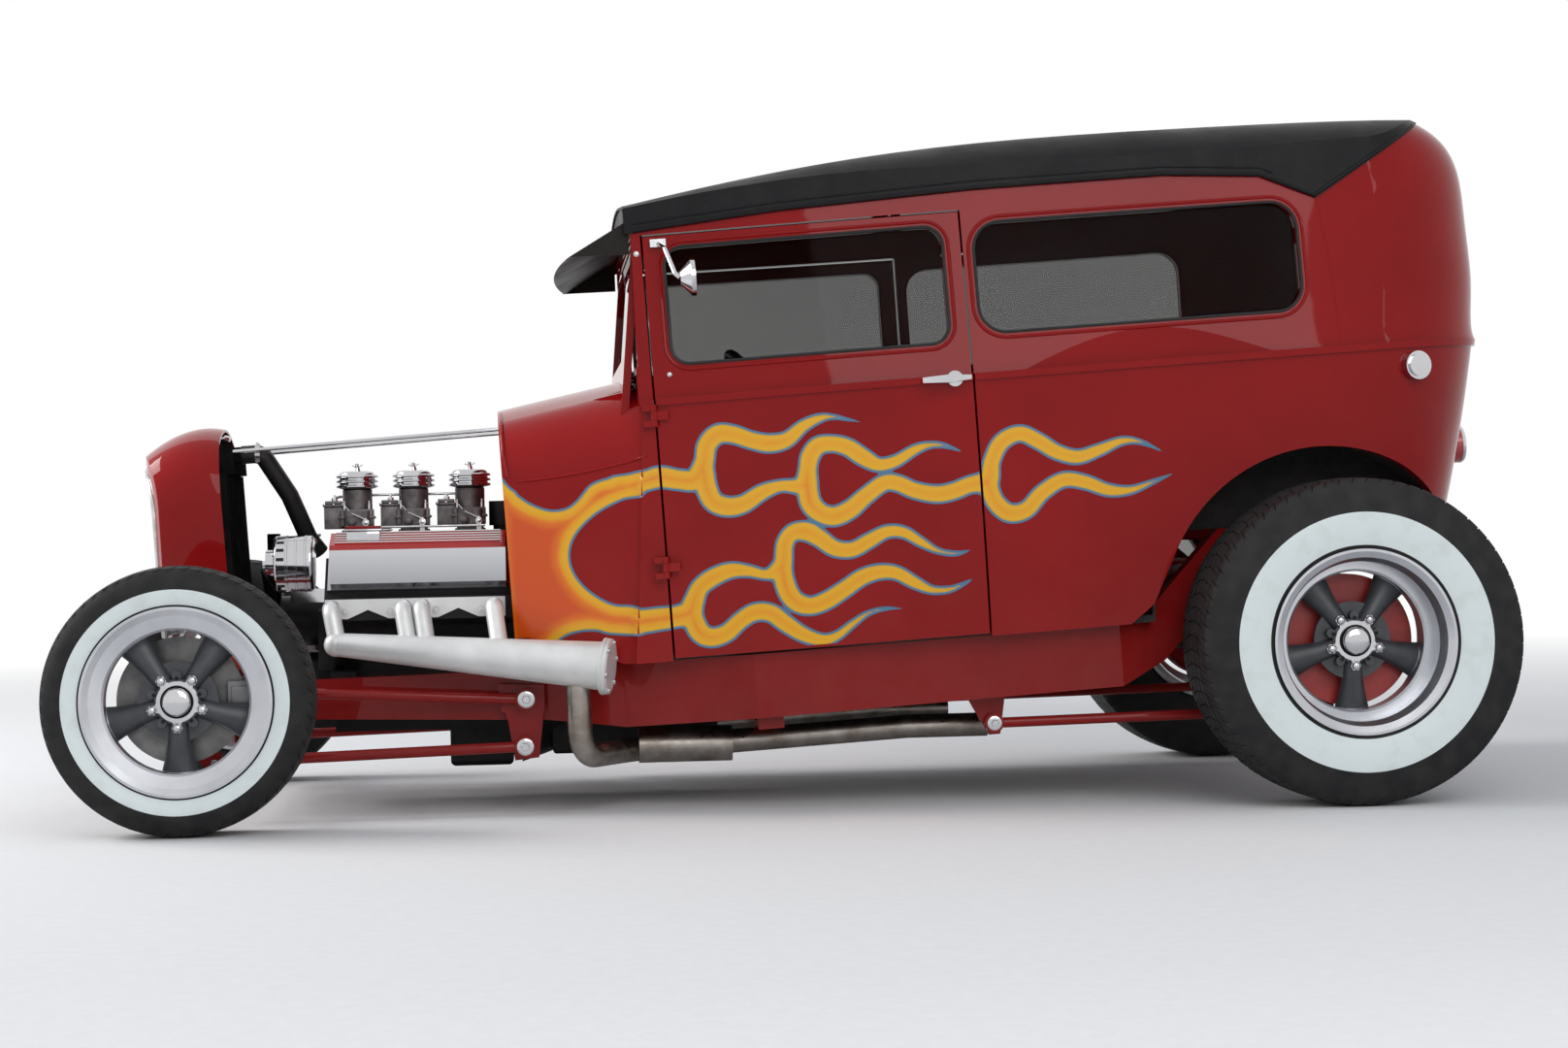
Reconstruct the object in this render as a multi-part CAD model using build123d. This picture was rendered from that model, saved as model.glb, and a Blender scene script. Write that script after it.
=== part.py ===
"""Chopped two-door sedan hot rod with an open V8.

Millimetres, +Z up, the nose towards -X and the car's left side towards -Y. The origin lies on the ground, on
the centre plane, half-way along the car. The wheels, axles and engine stand level. The body, the frame and the
radiator shell lean nose down by the rake, so they are drawn in a body frame and turned about the ground point
under the front axle.
"""
import os
from collections import namedtuple
from math import cos, radians, sin

from build123d import *

# Stance
wheelbase = 2629.0
rake_deg = 3.4
front_overhang_x = -297.0
fit_gap = 0.3
panel_gap = 5.0

# Wheels and tyres. lip: rim edge outboard of the wheel's centre plane. dish: hub face inboard of the rim edge.
Axle = namedtuple("Axle", "x track tyre_r tyre_w lip dish")
front = Axle(x=0.0, track=1406.0, tyre_r=297.0, tyre_w=185.0, lip=86.0, dish=26.0)
rear = Axle(x=wheelbase, track=1449.0, tyre_r=369.0, tyre_w=255.0, lip=124.0, dish=92.0)
rim_r = 208.5
bead_seat_r = 194.5
barrel_r = 180.0
hoop_r = 157.0
flange_t = 7.0
hub_flange_r = 88.0
hub_depth = 38.0
spindle_r = 20.0
bolt_circle_r = 57.15
lug_r = 10.0
cap_r = 34.0
spoke_count = 5

# Body panels, in the body frame
wall_t = 34.0
floor_z = 284.0
floor_t = 16.0
belt_low_z = 869.0
belt_high_z = 897.0
belt_proud = 7.0
roof_seam_z = 1262.0
roof_front_x = 1094.0
corner_r = 290.0
rear_bow = 12.0
cowl_front_x = 757.0
skin_front_x = 1000.0
cowl_rear_x = 1115.0
firewall_t = 8.0
cowl_t = 24.0
door_front_x = cowl_rear_x + panel_gap
door_rear_x = 1840.0
door_low_z = floor_z + 6.0
door_high_z = roof_seam_z - panel_gap
quarter_front_x = door_rear_x + panel_gap
rear_panel_half = 345.0
rear_low_z = 500.0
glass_t = 5.0
glass_depth = 14.0
glass_x0 = 1168.0
glass_x1 = 1797.0
glass_z0 = 962.0
glass_z1 = 1226.0
quarter_glass_x0 = 1872.0
quarter_glass_x1 = 2622.0
quarter_glass_z0 = 977.0
rear_glass_half = 270.0
rear_glass_z0 = 1010.0
rear_glass_z1 = 1200.0
arch_x = 2629.0
arch_z = 270.0
arch_r = 388.0
arch_lead_x = 2169.0
tub_t = 6.0
tub_inner_y = 385.0
step_x = 2282.0
deck_z = rear_low_z
hinge_x = 1113.0
hinge_heights = (499.0, 846.0)
hinge_barrel_r = 8.0
hinge_pin_r = 4.0
hinge_stand_off = 11.0
hinge_knuckle_h = 20.0
hinge_end_h = 14.0
cover_t = 6.0

# Plan outline of the body at each height: half-widths at the front edge, the door's rear and the rear corner, and
# the place of the rear face.
Level = namedtuple("Level", "z front door quarter rear_x")
lower_levels = (
    Level(floor_z, 524.0, 600.0, 590.0, 2945.0),
    Level(600.0, 540.0, 632.0, 622.0, 3032.0),
    Level(885.0, 544.0, 642.0, 632.0, 3095.0),
)
upper_levels = (
    Level(885.0, 536.0, 634.0, 624.0, 3104.0),
    Level(1000.0, 530.0, 626.0, 616.0, 3107.0),
    Level(1120.0, 524.0, 619.0, 609.0, 3109.0),
    Level(1229.0, 518.0, 612.0, 602.0, 3107.0),
    Level(1330.0, 512.0, 606.0, 596.0, 3088.0),
    Level(1375.0, 510.0, 604.0, 594.0, 3056.0),
    Level(1450.0, 506.0, 600.0, 590.0, 2900.0),
)
# Cross-sections of the roof along the body: height of the cover's hem, of the shoulder and its half-width.
RoofStation = namedtuple("RoofStation", "x hem shoulder half")
roof_stations = (
    RoofStation(1060.0, 1262.0, 1330.0, 425.0),
    RoofStation(1445.0, 1290.0, 1385.0, 482.0),
    RoofStation(1898.0, 1305.0, 1418.0, 500.0),
    RoofStation(2400.0, 1304.0, 1420.0, 500.0),
    RoofStation(2800.0, 1290.0, 1412.0, 490.0),
    RoofStation(3120.0, 1270.0, 1392.0, 458.0),
)
roof_crown = 28.0
roof_side_half = 640.0
belt_base_z = 850.0

rear_lean = radians(rake_deg)
rear_reach_x = max((row.rear_x + rear_bow) * cos(rear_lean) - row.z * sin(rear_lean)
                   for row in lower_levels + upper_levels)
middle_x = (front_overhang_x + rear_reach_x) / 2


def level(shape):
    """Put a shape drawn from the ground point under the front axle into the car's frame."""
    return Pos(-middle_x, 0, 0) * shape


def raked(shape):
    """Put a shape drawn in the body frame into the car's frame."""
    return Pos(-middle_x, 0, 0) * Rot(0, -rake_deg, 0) * shape


def both_sides(shape):
    """A left-hand shape and its mirror image."""
    return [shape, mirror(shape, about=Plane.XZ)]


def plate_y(points, y0, y1):
    """A flat outline of (x, z) points, from y0 to y1."""
    face = make_face(Polyline(*[(x, y0, z) for x, z in points], close=True))
    return extrude(face, amount=y1 - y0, dir=(0, 1, 0))


def rounded_window(x0, x1, z0, z1, r, y0, y1):
    """A rounded rectangle in x and z, from y0 to y1."""
    block = Pos((x0 + x1) / 2, (y0 + y1) / 2, (z0 + z1) / 2) * Box(x1 - x0, y1 - y0, z1 - z0)
    return fillet(block.edges().filter_by(Axis.Y), r)


def block(x0, x1, y0, y1, z0, z1):
    """A box between two corners."""
    return Pos((x0 + x1) / 2, (y0 + y1) / 2, (z0 + z1) / 2) * Box(x1 - x0, y1 - y0, z1 - z0)


def rod(start, end, r):
    """A round bar between two points."""
    return sweep(Plane(origin=start, z_dir=Vector(end) - Vector(start)) * Circle(r), path=Line(start, end))


def bent_rod(points, bend_r, r):
    """A round bar along straight runs joined by bends."""
    path = FilletPolyline(*points, radius=bend_r)
    section = Plane(origin=path @ 0, z_dir=path % 0) * Circle(r)
    return sweep(section, path=path)


def disc_y(x, z, r, y0, y1):
    """A round plate or boss whose axis lies along Y."""
    return Pos(x, (y0 + y1) / 2, z) * Rot(90, 0, 0) * Cylinder(r, abs(y1 - y0))


def turned_y(profile):
    """A solid turned about the Y axis from (y, radius) points."""
    face = make_face(Polyline(*[(0, y, r) for y, r in profile], close=True))
    return revolve(face, Axis.Y)


def plan_wire(row, inset):
    """The body's plan outline at one height, drawn inset inside the skin."""
    r = corner_r - inset
    rear_x = row.rear_x - inset
    front_y, door_y, quarter_y = row.front - inset, row.door - inset, row.quarter - inset
    corner_x = rear_x - r
    corner_y = quarter_y - r
    k = r * sin(radians(45))
    z = row.z
    return Wire([
        ThreePointArc((skin_front_x, -front_y, z), (door_rear_x, -door_y, z), (corner_x, -quarter_y, z)),
        ThreePointArc((corner_x, -quarter_y, z), (corner_x + k, -corner_y - k, z), (rear_x, -corner_y, z)),
        ThreePointArc((rear_x, -corner_y, z), (rear_x + rear_bow, 0, z), (rear_x, corner_y, z)),
        ThreePointArc((rear_x, corner_y, z), (corner_x + k, corner_y + k, z), (corner_x, quarter_y, z)),
        ThreePointArc((corner_x, quarter_y, z), (door_rear_x, door_y, z), (skin_front_x, front_y, z)),
        Line((skin_front_x, front_y, z), (skin_front_x, -front_y, z)),
    ])


def roof_wire(row, inset):
    """A cross-section of the roof: upright sides up to the hem, a rounded shoulder and a crowned top."""
    side = roof_side_half - inset
    hem = row.hem - inset
    shoulder = row.shoulder - inset
    swell_y = row.half + 0.62 * (side - row.half)
    swell_z = hem + 0.66 * (shoulder - hem)
    x = row.x
    return Wire([
        Line((x, side, belt_base_z), (x, -side, belt_base_z)),
        Line((x, -side, belt_base_z), (x, -side, hem)),
        ThreePointArc((x, -side, hem), (x, -swell_y, swell_z), (x, -row.half, shoulder)),
        ThreePointArc((x, -row.half, shoulder), (x, 0, shoulder + roof_crown), (x, row.half, shoulder)),
        ThreePointArc((x, row.half, shoulder), (x, swell_y, swell_z), (x, side, hem)),
        Line((x, side, hem), (x, side, belt_base_z)),
    ])


def lower_body(inset):
    """The body below the belt, inset inside its skin."""
    return Solid.make_loft([plan_wire(row, inset) for row in lower_levels], False)


def upper_walls(inset):
    """The walls above the belt as one solid, inset inside their skin."""
    return Solid.make_loft([plan_wire(row, inset) for row in upper_levels], False)


def upper_body(inset, roof_inset):
    """The body above the belt with its roof, inset inside its skin."""
    roof = Solid.make_loft([roof_wire(row, roof_inset) for row in roof_stations], False)
    return upper_walls(inset) & roof


# Body shell: one hollow skin, cut below into its panels
outer_lower = lower_body(0)
outer_upper = upper_body(0, 0)
belt_band = lower_body(-belt_proud) & block(0, 4000, -900, 900, belt_low_z, belt_high_z - 12)
skin = outer_lower + outer_upper + belt_band - lower_body(wall_t) - upper_body(wall_t, 24)


def window_prisms(grow):
    """The window outlines on the left side, each as a prism through the wall, grown all round."""
    door = rounded_window(glass_x0 - grow, glass_x1 + grow, glass_z0 - grow, glass_z1 + grow, 40 + grow, -720, -420)
    quarter = rounded_window(quarter_glass_x0 - grow, quarter_glass_x1 + grow, quarter_glass_z0 - grow,
                             glass_z1 + grow, 60 + grow, -720, -420)
    return door, quarter


door_window, quarter_window = window_prisms(0)
door_pane_prism, quarter_pane_prism = window_prisms(-fit_gap)
rear_window = Pos(3080, 0, (rear_glass_z0 + rear_glass_z1) / 2) * Box(
    200, 2 * rear_glass_half, rear_glass_z1 - rear_glass_z0)
rear_window = fillet(rear_window.edges().filter_by(Axis.X), 50)
arch_cut = disc_y(arch_x, arch_z, arch_r, -900, 0) + plate_y(
    [(arch_lead_x, floor_z - 60), (arch_lead_x, floor_z), (arch_lead_x + 55, floor_z + 42),
     (arch_x - arch_r + 34, arch_z + 160), (arch_x, arch_z), (arch_x, floor_z - 60)], -900, 0)
low_tail_cut = block(arch_x, 3400, -900, 900, 0, rear_low_z)


door_front_half = 566.0
pin_y = -(door_front_half + hinge_stand_off)


def door_panel():
    """The left door: its slice of the skin, the window opening and the leaves of its hinges."""
    door = skin & block(door_front_x, door_rear_x, -900, 0, door_low_z, door_high_z)
    door = door - door_window
    return door + door_hinge_leaves()


def door_hinge_leaves():
    """The middle knuckles of the left door's hinges with the leaves that carry them."""
    leaves = []
    for z in hinge_heights:
        knuckle = Pos(hinge_x, pin_y, z) * Cylinder(hinge_barrel_r, hinge_knuckle_h)
        leaf = block(hinge_x, door_front_x + 26, pin_y - 4, pin_y + 5, z - hinge_knuckle_h / 2, z + hinge_knuckle_h / 2)
        foot = block(door_front_x + 2, door_front_x + 26, pin_y - 4, pin_y + 26,
                     z - hinge_knuckle_h / 2, z + hinge_knuckle_h / 2)
        bore = Pos(hinge_x, pin_y, z) * Cylinder(hinge_pin_r + fit_gap, 60)
        leaves.append(knuckle + leaf + foot - bore)
    return leaves


def cowl_hinge_leaves():
    """The outer knuckles and the pins of the left door's hinges, on the cowl's rear edge."""
    leaves = []
    for z in hinge_heights:
        for end in (-1, 1):
            centre_z = z + end * (hinge_knuckle_h / 2 + 1 + hinge_end_h / 2)
            z0, z1 = centre_z - hinge_end_h / 2, centre_z + hinge_end_h / 2
            knuckle = Pos(hinge_x, pin_y, centre_z) * Cylinder(hinge_barrel_r, hinge_end_h)
            leaf = block(hinge_x - 26, hinge_x, pin_y - 4, pin_y + 5, z0, z1)
            foot = block(hinge_x - 26, hinge_x - 2, pin_y - 4, pin_y + 28, z0, z1)
            leaves.append(knuckle + leaf + foot)
        leaves.append(Pos(hinge_x, pin_y, z) * Cylinder(hinge_pin_r, hinge_knuckle_h + 2 + 2 * hinge_end_h))
    return leaves


# Cowl: cross-sections at the firewall, half-way and at the windshield. z_side is where the side turns over.
CowlStation = namedtuple("CowlStation", "x foot_half side_half z_side top")
cowl_stations = (
    CowlStation(cowl_front_x, 384.0, 400.0, 716.0, 906.0),
    CowlStation(930.0, 452.0, 476.0, 742.0, 934.0),
    CowlStation(1100.0, 536.0, 556.0, 766.0, 960.0),
)


def cowl_wire(row, inset):
    """A cross-section of the cowl: leaning sides and a rounded top."""
    foot, side, top = row.foot_half - inset, row.side_half - inset, row.top - inset
    x = row.x
    corner_y, turn_y = side * 0.74, side * 0.955
    corner_z, turn_z = row.z_side + 0.80 * (top - row.z_side), row.z_side + 0.46 * (top - row.z_side)
    foot_z = floor_z
    return Wire([
        Line((x, foot, foot_z), (x, -foot, foot_z)),
        Line((x, -foot, foot_z), (x, -side, row.z_side)),
        ThreePointArc((x, -side, row.z_side), (x, -turn_y, turn_z), (x, -corner_y, corner_z)),
        ThreePointArc((x, -corner_y, corner_z), (x, 0, top), (x, corner_y, corner_z)),
        ThreePointArc((x, corner_y, corner_z), (x, turn_y, turn_z), (x, side, row.z_side)),
        Line((x, side, row.z_side), (x, foot, foot_z)),
    ])


# Windshield: two posts, a sill rail and a header, leaning back
windshield_base_x = 1056.0
windshield_base_z = 962.0
windshield_top_x = 1098.0
windshield_top_z = 1257.0
post_t = 18.0
windshield_half = 498.0
windshield_skirt = 110.0

cowl_foot = [(779.0, 360.0), (1005.0, floor_z)]
toe_board_t = 14.0
firewall_x = 800.0
tunnel_r = 200.0
tunnel_t = 6.0
tunnel_z = 217.0
tunnel_end_x = 1450.0
tunnel_end_r = 120.0


# Side outline of the windshield pillar with the cowl's rear edge under it
pillar_outline = [(cowl_rear_x, floor_z), (cowl_rear_x, door_high_z + panel_gap), (1094.0, door_high_z + panel_gap),
                  (1086.0, 962.0), (1079.0, 762.0), (1058.0, 520.0), (1030.0, floor_z)]


def cowl():
    """The cowl shell with its inset firewall, toe board, half of the tunnel and the hinges' outer knuckles."""
    outer = Solid.make_loft([cowl_wire(row, 0) for row in cowl_stations], False)
    inner = Solid.make_loft([cowl_wire(row, cowl_t) for row in cowl_stations], False)
    (foot_x, foot_z), (heel_x, heel_z) = cowl_foot
    slant_cut = plate_y([(700, heel_z - 20), (700, foot_z), (foot_x, foot_z), (heel_x, heel_z),
                         (heel_x, heel_z - 20)], -900, 900)
    cabin_side = plate_y([(firewall_x + firewall_t, foot_z + toe_board_t - 10), (heel_x + 4, heel_z + toe_board_t),
                          (1200, heel_z + toe_board_t), (1200, 1000), (firewall_x + firewall_t, 1000)], -900, 900)
    engine_side = block(700, firewall_x, -900, 900, 200, 1000)
    shell = outer - slant_cut - (inner & cabin_side) - (inner & engine_side)
    tunnel_run = (cowl_rear_x - 1 - firewall_x) / 2
    at_tunnel = Pos(firewall_x + tunnel_run, 0, tunnel_z) * Rot(0, 90, 0)
    above = block(firewall_x, cowl_rear_x - 1, -400, 400, heel_z, 900)
    shell = shell - at_tunnel * Cylinder(tunnel_r, 2 * tunnel_run + 200)
    ring = at_tunnel * Cylinder(tunnel_r + tunnel_t, 2 * tunnel_run)
    shell = shell + ((ring - at_tunnel * Cylinder(tunnel_r, 2 * tunnel_run + 2)) & above)
    bulkhead = block(1082, 1100, -door_front_half + 20, door_front_half - 20, 700, windshield_base_z)
    shell = shell + (bulkhead - Solid.make_loft([cowl_wire(row, 60) for row in cowl_stations[1:]], False)
                     - at_tunnel * Cylinder(400, 800))
    shell = shell + (skin & plate_y(pillar_outline, -900, 900))
    for leaf in cowl_hinge_leaves():
        shell = shell + leaf + mirror(leaf, about=Plane.XZ)
    return shell


def windshield_frame():
    """The frame round the windshield, from the cowl's top to the roof, with its opening."""
    half = windshield_half
    run = (windshield_top_x - windshield_base_x) / (windshield_top_z - windshield_base_z)
    foot_x = windshield_base_x - run * windshield_skirt
    lean = [(foot_x, windshield_base_z - windshield_skirt), (windshield_top_x, windshield_top_z),
            (windshield_top_x + post_t, windshield_top_z), (foot_x + post_t, windshield_base_z - windshield_skirt)]
    cowl_top = Solid.make_loft([cowl_wire(row, -fit_gap) for row in cowl_stations], False)
    sheet = plate_y(lean, -half, half) - cowl_top
    opening = block(900, 1300, -half + 44, half - 44, windshield_base_z + 30, windshield_top_z - 24)
    return sheet - opening


def windshield_glass():
    """The pane that fills the windshield's opening."""
    half = windshield_half - 44 - fit_gap
    run = (windshield_top_x - windshield_base_x) / (windshield_top_z - windshield_base_z)
    z0 = windshield_base_z + 30 + fit_gap
    z1 = windshield_top_z - 24 - fit_gap
    x0 = windshield_base_x + run * (z0 - windshield_base_z) + 10
    x1 = windshield_base_x + run * (z1 - windshield_base_z) + 10
    sheet = plate_y([(x0, z0), (x1, z1), (x1 + glass_t, z1), (x0 + glass_t, z0)], -half, half)
    return sheet - Solid.make_loft([cowl_wire(row, -fit_gap) for row in cowl_stations], False)


def quarter_panel():
    """The left side behind the door: window opening, wheel arch and rounded rear corner."""
    region = block(quarter_front_x, 3300, -900, -rear_panel_half, floor_z, roof_seam_z)
    return (skin & region) - quarter_window - arch_cut - low_tail_cut


def rear_panel():
    """The back of the body between the rounded corners, with the rear window."""
    region = block(2850, 3300, -rear_panel_half, rear_panel_half, rear_low_z, roof_seam_z)
    return (skin & region) - rear_window


def roof_panel():
    """The roof shell above the windows."""
    header = outer_upper & block(roof_front_x, roof_front_x + 18, -900, 900, roof_seam_z, 1600)
    return (skin & block(roof_front_x, 3300, -900, 900, roof_seam_z, 1600)) + header


# The stretch of the roof's crown that rises to the top of the walls' sections
cover_pad_x0 = 1250.0
cover_pad_x1 = 2750.0
cover_pad_half = 440.0

# Side outline of the roof cover: its hem runs along the drip line, drops to a tip and climbs over the rear.
cover_outline = [(1080.0, 1700.0), (1080.0, 1268.0), (1092.0, 1268.0), (1427.0, 1291.0), (1873.0, 1305.0),
                 (2320.0, 1306.0), (2547.0, 1289.0), (2675.0, 1231.0), (2984.0, 1410.0), (2984.0, 1700.0)]


def padded_body(inset):
    """The body above the belt, inset inside its skin, with the walls carried up past the roof's crown."""
    crown = block(cover_pad_x0, cover_pad_x1, -cover_pad_half, cover_pad_half, upper_levels[-1].z - 40, 1600)
    roof = Solid.make_loft([roof_wire(row, inset) for row in roof_stations], False)
    return (upper_walls(inset) + crown) & roof


def roof_cover():
    """The padded cover that wraps the roof down to its hem."""
    grown = padded_body(-cover_t)
    skirt = (grown - padded_body(-2 * fit_gap)) & plate_y(cover_outline, -900, 900)
    brow = grown & block(roof_front_x - 9, roof_front_x - fit_gap, -900, 900, visor_root[1] + 1, 1700)
    return skirt + brow


# Visor over the windshield: root at the roof, drop to its lip, forward bow of the lip at the middle
visor_half = 520.0
visor_root = (1091.0, 1300.0)
visor_lip = (949.0, 1225.0)
visor_heel = (1088.0, 1222.0)
visor_bow = 30.0
visor_t = 5.0


def visor_wire(y, bow, inset):
    """The visor's triangular section at one place across the car."""
    (root_x, root_z), (lip_x, lip_z), (heel_x, heel_z) = visor_root, visor_lip, visor_heel
    return Wire([
        Line((root_x, y, root_z - inset), (lip_x - bow + inset * 1.6, y, lip_z)),
        Line((lip_x - bow + inset * 1.6, y, lip_z), (heel_x, y, heel_z)),
        Line((heel_x, y, heel_z), (root_x, y, root_z - inset)),
    ])


def visor():
    """A sloping sheet with a triangular cheek at each end, open below."""
    spans = ((-visor_half, 0.0), (0.0, visor_bow), (visor_half, 0.0))
    outer = Solid.make_loft([visor_wire(y, bow, 0) for y, bow in spans], False)
    inner = Solid.make_loft([visor_wire(y * (1 - visor_t / visor_half), bow, visor_t) for y, bow in spans], False)
    return outer - inner - block(visor_lip[0] - 60, visor_lip[0] + 200, -visor_half + visor_t,
                                 visor_half - visor_t, 1200, visor_lip[1] + 0.5)


def floor_pan():
    """Cabin floor with the tunnel, the step over the rear axle and the inner wheelhouses."""
    cabin = lower_body(wall_t + panel_gap) & block(cowl_rear_x + 1, quarter_front_x, -900, 900,
                                                   floor_z, floor_z + floor_t)
    back = lower_body(wall_t + fit_gap)
    middle = back & block(quarter_front_x, step_x + floor_t, -900, 900, floor_z, floor_z + floor_t)
    riser = block(step_x, step_x + floor_t, -tub_inner_y, tub_inner_y, floor_z, deck_z)
    deck = back & block(step_x, 3300, -900, 900, deck_z - floor_t, deck_z)
    pan = cabin + middle + riser + deck
    run = (tunnel_end_x - cowl_rear_x) / 2
    at_tunnel = Pos(cowl_rear_x + run, 0, tunnel_z) * Rot(0, 90, 0)
    pan = pan - at_tunnel * Cone(tunnel_r, tunnel_end_r, 2 * run)
    ring = at_tunnel * Cone(tunnel_r + tunnel_t, tunnel_end_r + tunnel_t, 2 * run) - at_tunnel * Cone(
        tunnel_r, tunnel_end_r, 2 * run)
    pan = pan + (ring & block(cowl_rear_x + 1, tunnel_end_x, -400, 400, floor_z, 900))
    house_r = arch_r + 10
    for side in (-1, 1):
        y0, y1 = sorted((side * tub_inner_y, side * 900))
        pan = pan - disc_y(arch_x, arch_z, house_r, y0, y1)
        ring = disc_y(arch_x, arch_z, house_r + tub_t, y0, y1) - disc_y(arch_x, arch_z, house_r, y0 - 1, y1 + 1)
        wall = disc_y(arch_x, arch_z, house_r + tub_t, side * tub_inner_y, side * (tub_inner_y - tub_t))
        wall = wall & block(0, 4000, -900, 900, deck_z - floor_t, 1000)
        pan = pan + (ring & back & block(0, 4000, -900, 900, floor_z, 1000)) + wall
    rail_room = left_rail(3) & block(2166, 2480, -900, 900, floor_z - 20, deck_z - floor_t)
    return pan - rail_room - mirror(rail_room, about=Plane.XZ)


def pane(prism):
    """A curved pane inside the wall, as wide as its window."""
    return (upper_walls(glass_depth) & prism) - upper_walls(glass_depth + glass_t)


def fixed_glass():
    """Windshield, quarter windows and rear window."""
    panes = [windshield_glass()]
    panes += both_sides(pane(quarter_pane_prism))
    rear_pane_prism = Pos(3080, 0, (rear_glass_z0 + rear_glass_z1) / 2) * Box(
        200, 2 * (rear_glass_half - fit_gap), rear_glass_z1 - rear_glass_z0 - 2 * fit_gap)
    rear_pane_prism = fillet(rear_pane_prism.edges().filter_by(Axis.X), 50 - fit_gap)
    panes.append(pane(rear_pane_prism))
    return panes


# Frame rails: side outline and plan line of the outer face, in the body frame
rail_top = [(-70.0, 312.0), (60.0, 312.0), (284.0, 301.0), (817.0, 284.0), (2169.0, 284.0), (2250.0, 330.0),
            (2420.0, deck_z - floor_t), (3010.0, deck_z - floor_t)]
rail_bottom = [(3010.0, 410.0), (2800.0, 400.0), (2480.0, 380.0), (2260.0, 190.0), (2150.0, 140.0),
               (1000.0, 135.0), (914.0, 150.0), (817.0, 165.0), (284.0, 209.0), (70.0, 266.0), (-70.0, 268.0)]
rail_plan = [(-70.0, 335.0), (284.0, 352.0), (817.0, 392.0), (1000.0, 430.0), (1300.0, 540.0),
             (2150.0, 555.0), (2400.0, 470.0), (3010.0, 440.0)]
rail_w = 55.0
perch_top_z = 370.0


def left_rail(grow):
    """The left rail, grown all round."""
    outline = [(x, z + grow) for x, z in rail_top] + [(x, z - grow) for x, z in rail_bottom]
    ribbon = [(x, -y - grow) for x, y in rail_plan] + [(x, -y + rail_w + grow) for x, y in reversed(rail_plan)]
    plan = extrude(make_face(Polyline(*[(x, y, 0) for x, y in ribbon], close=True)), amount=700)
    return plate_y(outline, -700, 700) & plan


def frame_rails():
    """Two rails with their crossmembers: spring perch in front, gearbox mount, and two over the rear axle."""
    rail = left_rail(0)
    frame = rail + mirror(rail, about=Plane.XZ)
    perch_outline = [(-300, 286), (-200, 334), (200, 334), (300, 286), (300, 296), (200, perch_top_z),
                     (-200, perch_top_z), (-300, 318)]
    perch_face = make_face(Polyline(*[(-35, y, z) for y, z in perch_outline], close=True))
    frame = frame + extrude(perch_face, amount=70, dir=(1, 0, 0))
    for x, y, z0, z1 in ((1300.0, 505.0, 108.0, 126.0), (2440.0, 430.0, 410.0, 455.0), (2950.0, 420.0, 415.0, 475.0)):
        frame = frame + block(x, x + 60, -y, y, z0, z1)
    for side in (-1, 1):
        frame = frame + block(1300, 1360, side * 480 - 25, side * 480 + 25, 120, 150)
    return frame


# Radiator shell: cross-sections from the grille's edge to the hood ledge
ShellStation = namedtuple("ShellStation", "x half z_side top")
shell_stations = (
    ShellStation(-98.0, 226.0, 700.0, 862.0),
    ShellStation(-30.0, 246.0, 720.0, 902.0),
    ShellStation(30.0, 252.0, 730.0, 918.0),
    ShellStation(94.0, 250.0, 726.0, 912.0),
)
shell_low_z = 455.0
shell_t = 6.0
shell_nose_r = 680.0
core_front_x = 36.0
core_rear_x = 106.0
core_half = 218.0
core_top_z = 800.0
tank_top_z = 872.0
tank_half = 156.0
core_low_z = 392.0


def shell_wire(row, inset):
    """A cross-section of the radiator shell: straight sides under a rounded top."""
    half, top, x = row.half - inset, row.top - inset, row.x
    corner_y, corner_z = half * 0.70, row.z_side + 0.82 * (top - row.z_side)
    turn_y, turn_z = half * 0.94, row.z_side + 0.46 * (top - row.z_side)
    return Wire([
        Line((x, half * 0.94, shell_low_z - inset), (x, -half * 0.94, shell_low_z - inset)),
        Line((x, -half * 0.94, shell_low_z - inset), (x, -half, row.z_side)),
        ThreePointArc((x, -half, row.z_side), (x, -turn_y, turn_z), (x, -corner_y, corner_z)),
        ThreePointArc((x, -corner_y, corner_z), (x, 0, top), (x, corner_y, corner_z)),
        ThreePointArc((x, corner_y, corner_z), (x, turn_y, turn_z), (x, half, row.z_side)),
        Line((x, half, row.z_side), (x, half * 0.94, shell_low_z - inset)),
    ])


nose = Pos(shell_stations[0].x + shell_nose_r, 0, 600) * Cylinder(shell_nose_r, 900)


def radiator_shell():
    """The painted shell round the radiator, open behind, with a narrow face round the grille."""
    outer = Solid.make_loft([shell_wire(row, 0) for row in shell_stations], False)
    inner = Solid.make_loft([shell_wire(row, shell_t) for row in shell_stations], False)
    face_band = Solid.make_loft([shell_wire(row, 34) for row in shell_stations], False)
    behind = Pos(10, 0, 0) * nose
    return (outer & nose) - (inner & behind) - face_band


def grille():
    """Upright bars between the shell's sides, tied by two cross wires."""
    band = Solid.make_loft([shell_wire(row, 34 + fit_gap) for row in shell_stations], False)
    curve = (Pos(3, 0, 0) * nose) - (Pos(9, 0, 0) * nose)
    bars = [block(-120, 80, y - 2.5, y + 2.5, 200, 1000) for y in range(-180, 181, 15)]
    bars += [block(-120, 80, -260, 260, z - 4, z + 4) for z in (340.0, 600.0, 780.0)]
    slats = bars[0]
    for bar in bars[1:]:
        slats = slats + bar
    return slats & curve & band


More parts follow.
